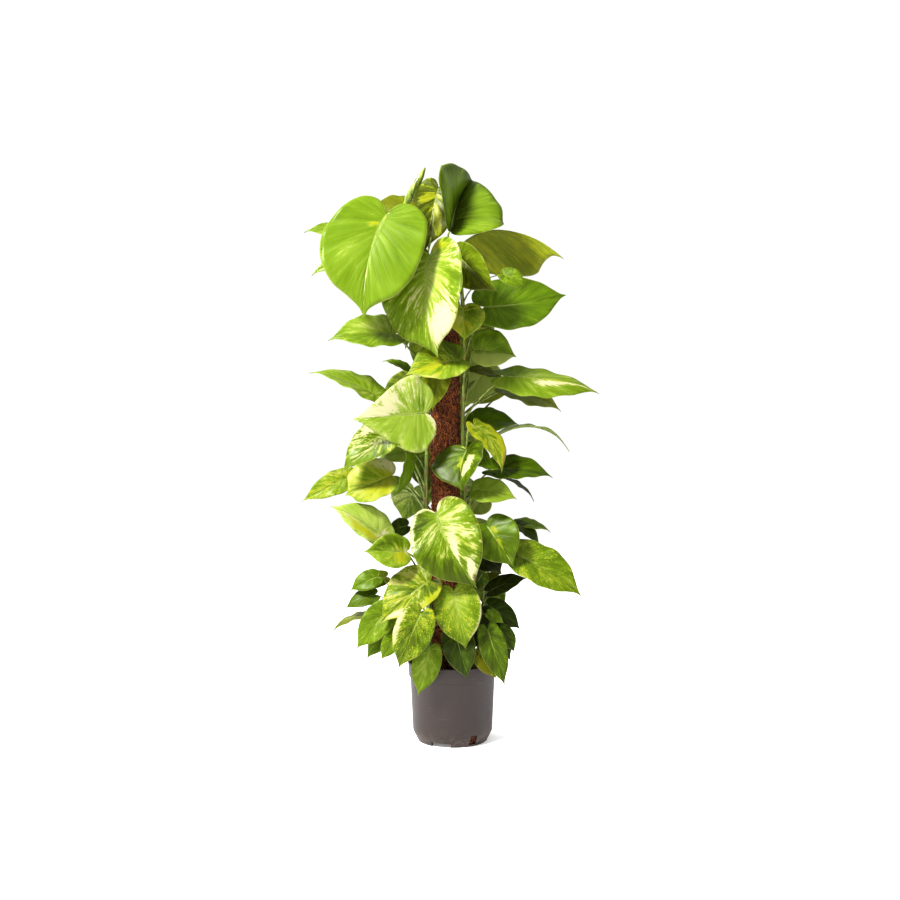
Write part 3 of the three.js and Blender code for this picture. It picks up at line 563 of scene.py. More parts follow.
stake_shape = bmesh.new()
bevel = 0.4 * STAKE["edge"]
stake_line = [
    (0, STAKE["bottom"]),
    (STAKE["tip"], STAKE["bottom"]),
    (STAKE["radius"], STAKE["bottom"] + STAKE["point"]),
    (STAKE["radius"], STAKE["top"] - STAKE["edge"]),
    (STAKE["radius"] - bevel, STAKE["top"] - bevel),
    (STAKE["radius"] - STAKE["edge"], STAKE["top"]),
    (0, STAKE["top"]),
]
lathe(stake_shape, stake_line, STAKE_SEGMENTS)
bmesh.ops.translate(stake_shape, verts=stake_shape.verts, vec=mm(POLE["x"], POLE["y"], 0))
stake_dowel = shaped("stake_dowel", stake_shape, dowel_finish())
smoothed(stake_dowel.data)
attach(stake_dowel, "root")
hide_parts("pole_stake")


# The binding: one thread of two-ply coir twine, wound six times up the sleeve to hold it shut. It
# lies drawn into the fibre, and its two plies turn round each other.
TWINE = {"ply": 0.5, "off_middle": 0.4, "pitch": 112, "turns": 6, "start": 158, "reach": 28.6}
TWINE_STEPS = 96
PLY_TWISTS = 44
PLY_CORNERS = 5


def twine_finish():
    """Hairy brown twine."""
    finish = Finish("twine_ply")
    fuzz = finish.noise(900, 4, 0.7)
    finish.bump(fuzz, 0.6, 0.0006)
    return finish.shade(Base_Color=finish.mix(fuzz, paint("5c3a20"), paint("a07a4c")), Roughness=0.9)


twine_shape = bmesh.new()
for ply in (0, math.pi):
    points = []
    for i in range(TWINE_STEPS * TWINE["turns"] + 1):
        turn = 2 * math.pi * i / TWINE_STEPS
        twist = PLY_TWISTS * turn + ply
        radius = TWINE["reach"] + TWINE["off_middle"] * math.cos(twist)
        height = TWINE["start"] + TWINE["pitch"] * i / TWINE_STEPS + TWINE["off_middle"] * math.sin(twist)
        points.append(pole_point(turn, height, radius))
    tube(twine_shape, points, [mm(TWINE["ply"])] * len(points), PLY_CORNERS)
twine_binding = shaped("twine_binding", twine_shape, twine_finish())
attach(twine_binding, "root")
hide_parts("binding_twine")


# The stems: four green climbers up the sides of the pole, a centimetre thick at the foot, and nine
# thin young shoots round it. A stem has a corky ring where a leaf springs, and a climber two stubs
# of aerial root there. At the top of vine_4 the newest leaf is still rolled up round itself.
CLIMBING_STEMS = {
    "vine_1": (4.8, 3.4, [
        (24, -8, 120), (20, -11, 260), (24, -7, 450), (20, -10, 650), (22, -8, 820), (18, -9, 900),
        (14, -6, 968),
    ]),
    "vine_2": (5, 3.6, [
        (-50, -9, 120), (-48, -12, 270), (-53, -9, 460), (-49, -12, 650), (-51, -9, 820), (-48, -13, 905),
    ]),
    "vine_3": (4.6, 3.2, [
        (-2, 35, 120), (2, 37, 280), (-4, 35, 470), (1, 37, 660), (-3, 35, 840), (2, 28, 960),
    ]),
    "vine_4": (4.6, 3.2, [
        (-36, 33, 120), (-33, 32, 270), (-38, 32, 450), (-34, 33, 660), (-38, 30, 850), (-62, 18, 940),
        (-90, 4, 1020), (-95, -4, 1064),
    ]),
}
SHOOT_THICKNESS = (2.6, 1.8)
SHOOTS = {
    "shoot_1": [(-50, 8, 120), (-62, 6, 180), (-88, 2, 235), (-118, -2, 276)],
    "shoot_2": [(-58, -34, 120), (-64, -40, 175), (-82, -48, 205), (-100, -52, 228)],
    "shoot_3": [(-34, -56, 120), (-38, -66, 175), (-48, -76, 215), (-56, -84, 246)],
    "shoot_4": [(2, -50, 120), (4, -60, 200), (10, -66, 262), (20, -60, 310)],
    "shoot_5": [(36, -46, 120), (42, -54, 170), (54, -62, 205), (62, -66, 226)],
    "shoot_6": [(54, -20, 120), (60, -22, 175), (72, -26, 215), (78, -28, 240)],
    "shoot_7": [(50, 14, 120), (54, 14, 200), (60, 10, 265), (64, 6, 306)],
    "shoot_8": [(26, 52, 120), (30, 60, 190), (36, 72, 240), (40, 84, 280)],
    "shoot_9": [(-46, 54, 120), (-50, 62, 190), (-58, 76, 240), (-66, 88, 280)],
}
STEMS = {**CLIMBING_STEMS, **{name: (*SHOOT_THICKNESS, path) for name, path in SHOOTS.items()}}
CLIMBER_STEPS = 120
SHOOT_STEPS = 26
STEM_CORNERS = 12
RING = {"swell": 0.16, "height": 4.5, "cork": 0.75, "cork_height": 3.2, "far": 99}

# A root stub, and the line it takes: how far aside, inward and down, and how thick it is there.
ROOT_STUB = {"below": 4, "aside": 2.2, "droop": 5, "more_droop": 3, "corners": 6}
STUB_LINE = ((1, 0, 0, 1.1), (1, 3, 0.4, 0.9), (1.6, 5, 1, 0.35))

NEW_LEAF = {
    "stem": "vine_4", "radius": 8.6, "overlap": 0.2, "steps": 30, "corners": 28,
    "taper": (0.55, 0.8, 1, 1, 0.92, 0.75, 0.22),
    "points": ((-95, -6, 1062), (-84, -10, 1085), (-70, -14, 1108), (-55, -16, 1136)),
}
HALVINGS = 30


def bent(before, start, end, after, w):
    """The smooth line from start to end, at w between them, led by the points on either side."""
    leave, arrive = (end - before) / 2, (after - start) / 2
    bend = (2 * start - 2 * end + leave + arrive) * w**3
    return bend + (-3 * start + 3 * end - 2 * leave - arrive) * w * w + leave * w + start


def along_curve(points, t):
    """A smooth curve through points: the place at t, from 0 at the first to 1 at the last."""
    count = len(points) - 1
    spot = min(max(t, 0), 1) * count
    i = min(int(spot), count - 1)
    w = spot - i
    before = points[i - 1] if i > 0 else 2 * points[0] - points[1]
    after = points[i + 2] if i + 2 <= count else 2 * points[count] - points[count - 1]
    return bent(before, points[i], points[i + 1], after, w)


def stem_point(name, height):
    """Where a stem stands at a height, in millimetres."""
    points = [Vector(p) for p in STEMS[name][2]]
    low, high = 0.0, 1.0
    for _ in range(HALVINGS):
        middle = (low + high) / 2
        if along_curve(points, middle).z < height:
            low = middle
        else:
            high = middle
    return along_curve(points, low)


def stem_finish():
    """Smooth green stem: fine streaks along it, and a paler, yellower side here and there."""
    finish = Finish("stem_skin")
    streak = finish.noise(160, 4, 0.55, finish.stretched(1, 1, 0.08))
    blotch = finish.noise(14, 3)
    age = finish.add("Attribute", {"attribute_name": "age"}).outputs["Fac"]
    colour = finish.mix(finish.step(blotch, 0.38, 0.66), paint("4f5c14"), paint("84933a"))
    colour = finish.mix(finish.step(streak, 0.5, 0.72), colour, paint("a3ad58"))
    colour = finish.mix(age, colour, paint("8a6a3e"))
    finish.bump(streak, 0.25, 0.0008)
    return finish.shade(Base_Color=colour, Roughness=0.38, Coat_Weight=0.15)


STEM_FINISH = stem_finish()


def near_joint(height, joints, reach):
    """1 at a joint of the stem, and less and less away from it."""
    gap = min([abs(height - joint) for joint in joints] or [RING["far"]])
    return math.exp(-((gap / reach) ** 2))


def grow_stem(mesh, name, joints):
    """The stem as a tube that swells to a ring at each joint, with root stubs by the pole."""
    age = mesh.verts.layers.float.new("age")
    foot, top, path = STEMS[name]
    climbing = name in CLIMBING_STEMS
    steps = CLIMBER_STEPS if climbing else SHOOT_STEPS
    points = [Vector(p) for p in path]
    places = [along_curve(points, i / steps) for i in range(steps + 1)]
    radii = []
    for i, place in enumerate(places):
        swell = 1 + RING["swell"] * near_joint(place.z, joints, RING["height"])
        radii.append((foot + (top - foot) * i / steps) * swell)
    tube(mesh, [p / 1000 for p in places], [r / 1000 for r in radii], STEM_CORNERS)
    mesh.verts.ensure_lookup_table()
    for vert in mesh.verts:
        vert[age] = RING["cork"] * near_joint(vert.co.z * 1000, joints, RING["cork_height"])
    for joint in joints if climbing else ():
        start = stem_point(name, joint - ROOT_STUB["below"])
        inward = Vector((POLE["x"], POLE["y"], start.z)) - start
        inward.normalize()
        for k in (-1, 1):
            side = Vector((-inward.y, inward.x, 0)) * ROOT_STUB["aside"] * k
            droop = Vector((0, 0, -ROOT_STUB["droop"] - ROOT_STUB["more_droop"] * dice.random()))
            line = [start + side * out + inward * reach + droop * down for out, reach, down, _ in STUB_LINE]
            thickness = [mm(radius) for *_, radius in STUB_LINE]
            tube(mesh, [p / 1000 for p in line], thickness, ROOT_STUB["corners"])


def roll_new_leaf(mesh):
    """The newest leaf: a spindle with the free edge of the blade as a seam along it."""
    curve = [Vector(p) for p in NEW_LEAF["points"]]
    taper = [Vector((part, 0)) for part in NEW_LEAF["taper"]]
    parts = [i / NEW_LEAF["steps"] for i in range(NEW_LEAF["steps"] + 1)]
    places = [along_curve(curve, part) / 1000 for part in parts]
    radii = [mm(NEW_LEAF["radius"] * along_curve(taper, part).x) for part in parts]
    tube(mesh, places, radii, NEW_LEAF["corners"], 0, NEW_LEAF["overlap"])


def raise_stem(name, joints):
    """One stem as a piece, with the heights at which leaves spring from it."""
    shape = bmesh.new()
    grow_stem(shape, name, joints)
    if name == NEW_LEAF["stem"]:
        roll_new_leaf(shape)
    stem = shaped("stem_of_" + name, shape, STEM_FINISH)
    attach(stem, "root")
    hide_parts(name)


# The leaves: heart-shaped blades on long stalks, folded along a pale midrib, quilted between the
# side veins, waxy above and matt below. Golden pothos marbles its green with yellow and cream in
# streaks that follow the side veins, and no two leaves are marked alike.

# How thick a blade is, and what share of that is left at its margin.
BLADE_THICKNESS = 0.8
EDGE_SHARE = 0.35

# How blades are bent: the fold eases off towards the margin, the side veins crowd at the notch
# and slant to the tip, and the waves of the margin turn along the blade and from side to side.
FORM = {
    "easing": 0.35, "crowding": 2.6, "shoulder": 0.07, "waves": 9, "sides": 2.2, "turn": 0.4,
    "slant": 1.15, "tip_share": 0.3,
}
WAVE = {"large": 0.014, "small": 0.012, "rear": 0.012}
WIDEST = 0.47
RIPPLE = {"height": 0.018, "pace": 2.3, "shift": 1.3}
DRIP = {"start": 0.72, "length": 0.28, "hang": 0.05}
TWIST = {"most": 0.22, "pace": 3}
VEINS = {"apart": 13, "fewest": 5}
QUILT = {"height": 0.8, "full_length": 120, "easing": 0.8}
GROOVE = {"depth": 0.35, "width": 0.07}
PUSHED = 0.02
SEED = {"step": 0.37, "other_half": 7}
NO_SLOPE = 1e-9
WELD = 1e-6
HALF_OUTLINE = [
    Vector(p) for p in (
        (0, 0), (-0.07, 0.04), (-0.13, 0.13), (-0.11, 0.27), (0.02, 0.4), (0.22, 0.47),
        (0.44, 0.44), (0.65, 0.32), (0.81, 0.15), (0.9, 0.055), (0.95, 0.022), (1, 0),
    )
]
STALK = {
    "large": 1.9, "small": 1.1, "rear": 1.5, "lean": 0.45, "rise": 0.42, "fall": 0.3, "longest": 34,
    "from_below": 0.8, "from_behind": 0.6,
}
TAPER = {"foot": 1.25, "loss": 0.4}
SHEATH = {"swell": 0.35, "length": 0.12}
MIDRIB = {"steps": 12, "reach": 0.86, "under": 0.1, "thickness": 0.6, "loss": 0.8}
MARKS = ("vein", "margin", "seed", "tone", "yellow", "marble", "cream", "speck", "scorch", "under")

# How a leaf is marked: how yellow its green is, how much of it is marbled, how far the marbling
# goes from yellow to cream, and how thickly it is freckled. A patch changes these, or it raises the tone as
# painted light or lowers it as painted shade.
MARKING = {
    "plain": (0.0, 0.1, 0.2, 0.1),
    "green": (0.05, 0.2, 0.2, 0.2),
    "fresh": (0.1, 0.3, 0.3, 0.2),
    "olive": (0.6, 0.25, 0.1, 0.1),
    "striped": (0.6, 0.48, 0.0, 0.1),
    "pale": (0.0, 0.3, 0.7, 0.1),
    "frosted": (0.0, 0.52, 0.75, 0.2),
    "marbled": (0.15, 0.5, 0.25, 0.4),
    "streaked": (0.1, 0.42, 0.45, 0.3),
    "freckled": (0.1, 0.3, 0.15, 0.9),
    "dusky": (0.3, 0.3, 0.1, 0.1),
    "brownish": (0.6, 0.4, 0.1, 0.4),
}
# How far a patch pushes marbling to cream or yellow, and how far a bright or painted_shade patch raises or
# lowers the tone.
PATCH = {"cream": 0.9, "yellow": 0.85, "tone": 0.5}


def leaf_finish():
    """Waxy pothos leaf: green in two depths, which carry painted light and shade as well as the leaf's
    own green, yellow and cream marbling drawn out along the side veins, a pale midrib and edge, and a paler,
    duller underside that lets light through."""
    finish = Finish("leaf_blade")
    mark = {name: finish.add("Attribute", {"attribute_name": name}).outputs["Fac"] for name in MARKS}
    along = finish.add("CombineXYZ", X=mark["vein"], Y=mark["margin"], Z=mark["seed"]).outputs[0]
    broad = finish.noise(1.0, 3, 0.55, finish.stretched(0.5, 1.1, 1, along), 0.3)
    streak = finish.noise(1.0, 5, 0.6, finish.stretched(2.3, 1.5, 1.3, along), 0.25)
    fleck = finish.noise(1.0, 4, 0.65, finish.stretched(6.5, 7.5, 1.7, along), 0.2)
    speckle = finish.noise(1.0, 2, 0.5, finish.stretched(9, 16, 2.3, along), 0.3)
    # The tone mark is partly the leaf's own depth of green and partly painted light and shade, set leaf by
    # leaf and patch by patch.
    depth = finish.plus(mark["tone"], finish.scaled(broad, 0.5, -0.25))
    pattern = finish.scaled(streak, 0.45, finish.times(broad, 0.2))
    pattern = finish.scaled(fleck, 0.35, pattern)
    gate = finish.scaled(mark["marble"], -0.4, 0.71)
    excess = finish.minus(pattern, gate)
    halo = finish.step(excess, -0.12, 0.0)
    depth = finish.scaled(halo, 0.22, depth)
    depth = finish.plus(depth, finish.scaled(streak, 0.5, -0.25))
    ramp = finish.add("ValToRGB", Fac=finish.times(depth, 0.8))
    ramp.color_ramp.elements[0].position = 0.0
    ramp.color_ramp.elements[0].color = paint("1e2801")
    ramp.color_ramp.elements[1].position = 1.0
    ramp.color_ramp.elements[1].color = paint("aebb62")
    for place, code in ((0.2, "405203"), (0.4, "627d06"), (0.56, "779119"), (0.74, "8ba134")):
        stop = ramp.color_ramp.elements.new(place)
        stop.color = paint(code)
    colour = finish.mix(finish.times(mark["yellow"], 0.8), ramp.outputs[0], paint("8a8604"))
    marbled = finish.step(excess, -0.008, 0.022)
    shade = finish.plus(mark["cream"], finish.scaled(broad, 1.0, -0.5))
    variegation = finish.mix(finish.step(shade, 0.15, 0.85), paint("a9ab20"), paint("d0caa8"))
    colour = finish.mix(finish.times(marbled, 0.88), colour, variegation)
    bar = finish.scaled(mark["speck"], -0.26, 0.84)
    bar = finish.minus(bar, finish.scaled(broad, 0.4, -0.2))
    dot = finish.step(finish.minus(speckle, bar), -0.01, 0.03)
    colour = finish.mix(finish.times(dot, 0.85), colour, paint("b4b23c"))
    nearest = finish.math("PINGPONG", mark["vein"], 0.5)
    side_vein = finish.times(finish.step(nearest, 0.09, 0.0), finish.step(mark["margin"], 0.95, 0.4))
    raised = finish.times(side_vein, finish.scaled(mark["under"], 0.4, 0.2))
    colour = finish.mix(raised, colour, paint("95a446"))
    midrib = finish.step(mark["margin"], 0.05, 0.02)
    colour = finish.mix(finish.times(midrib, 0.7), colour, paint("a0ae5c"))
    rim = finish.step(mark["margin"], 0.972, 0.995)
    colour = finish.mix(finish.times(rim, 0.6), colour, paint("a9ae60"))
    colour = finish.mix(finish.times(mark["under"], 0.3), colour, paint("74882e"))
    furrow = finish.times(finish.step(nearest, 0.12, 0.42), mark["under"])
    colour = finish.mix(finish.times(furrow, 0.45), colour, paint("47560a"))
    colour = finish.mix(mark["scorch"], colour, paint("8d6a55"))
    rough = finish.scaled(mark["under"], 0.15, finish.scaled(fleck, 0.2, 0.34))
    relief = finish.minus(finish.times(streak, 0.6), side_vein)
    finish.bump(finish.scaled(fleck, 0.3, relief), 0.3, 0.0012)
    finish.shade(Base_Color=colour, Roughness=rough, Specular_IOR_Level=0.2, Coat_Weight=0.12)
    finish.shade(Coat_Roughness=0.28)
    glow = finish.mix(0.6, colour, paint("d3e23c"), "MULTIPLY")
    through = finish.add("BsdfTranslucent", Color=finish.mix(0.35, glow, colour))
    blade = finish.add("MixShader", _0=0.36, _1=finish.shader.outputs[0], _2=through.outputs[0])
    finish.set(finish.tree.nodes["Material Output"], "Surface", blade.outputs[0])
    return finish.material


LEAF_FINISH = leaf_finish()


def seen(across, up, depth):
    """The point at a depth that the viewer sees in line with a place on the plane of the pole."""
    eye = EYE * 1000
    return (Vector((across, 0, up)) - eye) * (depth - eye.y) / -eye.y + eye


def blade_axes(heart, tip, roll):
    """m from heart to tip, n out of the upper face, s across the blade."""
    m = (tip - heart).normalized()
    facing = Vector((0, -1, 0))
    facing = (facing - m * facing.dot(m)).normalized()
    side = facing.cross(m)
    across, out = math.cos(math.radians(roll)), math.sin(math.radians(roll))
    return m, facing * across + side * out, side * across - facing * out


def outline_at(t):
    """The margin of a blade of length 1, at t from the notch to the tip: along, out."""
    points = HALF_OUTLINE
    spot = min(max(t, 0), 1) * (len(points) - 1)
    i = min(int(spot), len(points) - 2)
    w = spot - i
    return bent(*(points[min(max(k, 0), len(points) - 1)] for k in range(i - 1, i + 3)), w)


class Blade:
    """One leaf: where it sits, how it is bent, and how it is coloured. Its form is its width, roll,
    fold, arch and sweep, and how far its widest part is pushed towards the tip."""

    def __init__(self, root, heart, tip, form, wave, phase, looks):
        self.root, self.heart, self.tip = root, heart, tip
        self.width, roll, fold, self.arch, self.sweep, self.pushed = form
        self.fold = math.radians(fold)
        self.wave, self.phase = wave, phase
        marking, self.tone, *self.patches = looks
        self.marking = MARKING[marking]
        self.length = (tip - heart).length
        self.m, self.n, self.s = blade_axes(heart, tip, roll)

    def place(self, along, out):
        t = min(max(along, 0), 1)
        part = abs(out) / WIDEST
        across = out * self.width / (2 * WIDEST)
        angle = self.fold * (1 - FORM["easing"] * part)
        bulge = 2 * self.arch * along if along < 0 else 4 * self.arch * t * (1 - t)
        hand = (out > 0) - (out < 0)
        turn = FORM["waves"] * along + FORM["sides"] * hand + self.phase
        wave = self.wave * part * part * math.sin(turn)
        sideways = across * math.cos(angle) + 4 * self.sweep * t * (1 - t) * self.length
        ripple = math.sin(RIPPLE["pace"] * turn + RIPPLE["shift"] * self.phase)
        ripple *= RIPPLE["height"] * part**3
        hang = DRIP["hang"] * max(0, (along - DRIP["start"]) / DRIP["length"]) ** 2
        twist = TWIST["most"] * math.sin(TWIST["pace"] * self.phase) * t * across
        lift = abs(across) * math.sin(angle) + (bulge + wave + ripple - hang) * self.length + twist
        return self.heart + self.m * along * self.length + self.s * sideways + self.n * lift

    def marks_at(self, t, part, hand):
        """What the finish reads at a place: marbling and cream rise inside the leaf's patches, and painted
        light and painted shade raise or lower the tone inside them.
        """
        tone = self.tone
        yellow, marble, cream, speck = self.marking
        scorch = 0.0
        for kind, spot, side, long, wide in self.patches:
            near = math.exp(-(((t - spot) / long) ** 2) - ((hand * part - side) / wide) ** 2)
            if kind == "cream":
                marble, cream = marble + near * (PATCH["cream"] - marble), cream + near * (1 - cream)
            elif kind == "yellow":
                marble, cream = marble + near * (PATCH["yellow"] - marble), cream * (1 - near)
            elif kind == "green":
                marble = marble * (1 - near)
            # Painted light and painted shade: the tone goes up or down where light or shade falls on the
            # leaf.
            elif kind == "bright":
                tone = tone + PATCH["tone"] * near
            elif kind == "painted_shade":
                tone = tone - PATCH["tone"] * near
            elif kind == "scorch":
                scorch = max(scorch, near)
        return tone, yellow, marble, cream, speck, scorch


class Foliage:
    """Blades and stalks of one piece, gathered before they become one mesh."""

    def __init__(self):
        self.mesh = bmesh.new()
        self.layers = {name: self.mesh.verts.layers.float.new(name) for name in MARKS}

    def blade(self, leaf, rows, columns):
        """Both faces of a blade. Rows run as the side veins do, from midrib to margin."""
        veins = max(VEINS["fewest"], round(leaf.length / VEINS["apart"]))
        sheet, marks = [], []
        for i in range(rows + 1):
            t = i / rows
            root = t ** FORM["crowding"]
            margin = outline_at(FORM["shoulder"] + (1 - FORM["shoulder"]) * t)
            near_tip = min(1, (1 - margin.x) / FORM["tip_share"])
            push = 4 * leaf.pushed * margin.x * (1 - margin.x) * near_tip
            reach = margin.x + (push if margin.x > 0 else 0)
            quilt = abs(math.sin(math.pi * veins * t)) * QUILT["height"]
            quilt *= min(1, leaf.length / QUILT["full_length"])
            line, notes = [], []
            for j in range(-columns, columns + 1):
                part = abs(j) / columns
                hand = (j > 0) - (j < 0)
                along = root + (reach - root) * part ** FORM["slant"]
                spot = leaf.place(along, hand * margin.y * part)
                groove = GROOVE["depth"] * math.exp(-((part / GROOVE["width"]) ** 2))
                puff = quilt * math.sin(math.pi * part ** QUILT["easing"]) - groove
                line.append(spot + leaf.n * puff)
                notes.append((t * veins, part, *leaf.marks_at(t, part, hand)))
            sheet.append(line)
            marks.append(notes)
        seed = SEED["step"] * (leaf.heart.x + 2 * leaf.heart.z)
        self.faces_of(sheet, marks, seed, leaf.n)

    def faces_of(self, sheet, marks, seed, upward):
        """Two skins over a sheet of points, closed round the margin, with the marks of each point."""
        rows, wide = len(sheet), len(sheet[0])
        tops, bottoms = [], []
        for i in range(rows):
            line_top, line_bottom = [], []
            for j in range(wide):
                ahead, behind = sheet[min(i + 1, rows - 1)][j], sheet[max(i - 1, 0)][j]
                right, left = sheet[i][min(j + 1, wide - 1)], sheet[i][max(j - 1, 0)]
                slope = (ahead - behind).cross(right - left)
                slope = slope.normalized() if slope.length > NO_SLOPE else upward
                if slope.dot(upward) < 0:
                    slope = -slope
                edge = EDGE_SHARE if j in (0, wide - 1) else 1
                half_seed = seed + (SEED["other_half"] if j < wide // 2 else 0)
                for side, line in ((1, line_top), (-1, line_bottom)):
                    skin_point = sheet[i][j] + slope * side * BLADE_THICKNESS / 2 * edge
                    vert = self.mesh.verts.new(skin_point / 1000)
                    notes = marks[i][j]
                    values = (notes[0], notes[1], half_seed, *notes[2:], side < 0)
                    for name, value in zip(MARKS, values):
                        vert[self.layers[name]] = value
                    line.append(vert)
            tops.append(line_top)
            bottoms.append(line_bottom)
        first = (sheet[1][wide // 2] - sheet[0][wide // 2]).cross(sheet[0][-1] - sheet[0][wide // 2])
        flip = first.dot(upward) < 0
        faces = []
        for i in range(rows - 1):
            for j in range(wide - 1):
                quad = [(i, j), (i + 1, j), (i + 1, j + 1), (i, j + 1)]
                if flip:
                    quad.reverse()
                faces.append([tops[a][b] for a, b in quad])
                faces.append([bottoms[a][b] for a, b in reversed(quad)])
            for j, step in ((0, -1), (wide - 1, 1)):
                rim = [tops[i][j], tops[i + 1][j], bottoms[i + 1][j], bottoms[i][j]]
                faces.append(rim if (step > 0) != flip else rim[::-1])
        for i in (0, rows - 1):
            for j in range(wide - 1):
                rim = [tops[i][j], tops[i][j + 1], bottoms[i][j + 1], bottoms[i][j]]
                faces.append(rim if (i > 0) == flip else rim[::-1])
        for corners in faces:
            face = self.mesh.faces.new(corners)
            face.smooth = True

    def bar(self, points, radii, corners):
        tube(self.mesh, [p / 1000 for p in points], [r / 1000 for r in radii], corners, 1)

    def stalk(self, leaf, thickness, steps, corners):
        """The stalk rises from the stem, bows over into the blade and runs on as its midrib."""
        reach = (leaf.heart - leaf.root).length
        outward = leaf.heart - leaf.root
        outward.z = 0
        leave = (outward.normalized() * STALK["lean"] + Vector((0, 0, 1))).normalized()
        arrive = (leaf.n * STALK["from_below"] + leaf.m * STALK["from_behind"]).normalized()
        joint = leaf.heart - leaf.n * 0.5 * thickness
        bow = [
            leaf.root,
            leaf.root + leave * STALK["rise"] * reach,
            joint - arrive * min(STALK["fall"] * reach, STALK["longest"]),
            joint,
        ]
        under = leaf.n * (BLADE_THICKNESS / 2 + MIDRIB["under"])
        points, radii = [], []
        for i in range(steps + 1):
            t = i / steps
            weights = ((1 - t) ** 3, 3 * t * (1 - t) ** 2, 3 * t * t * (1 - t), t**3)
            points.append(sum((p * w for p, w in zip(bow, weights)), Vector()))
            sheath = SHEATH["swell"] * math.exp(-((t / SHEATH["length"]) ** 2))
            radii.append(thickness * (TAPER["foot"] + sheath - TAPER["loss"] * t))
        for i in range(1, MIDRIB["steps"] + 1):
            points.append(leaf.place(MIDRIB["reach"] * i / MIDRIB["steps"], 0) - under)
            radii.append(thickness * MIDRIB["thickness"] * (1 - MIDRIB["loss"] * i / MIDRIB["steps"]))
        self.bar(points, radii, corners)

    def piece(self, name, node):
        bmesh.ops.remove_doubles(self.mesh, verts=self.mesh.verts, dist=WELD)
        foliage = shaped(name, self.mesh, LEAF_FINISH, STEM_FINISH)
        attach(foliage, "root")
        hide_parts(node)


# The large leaves, 37 of them, from the top of the plant down. Each grows from a climbing stem by
# a long stalk of its own and turns its face to the window, so that some are seen from behind.
LARGE_BLADE = {"rows": 64, "columns": 12}
LARGE_STALK = {"steps": 22, "corners": 8}

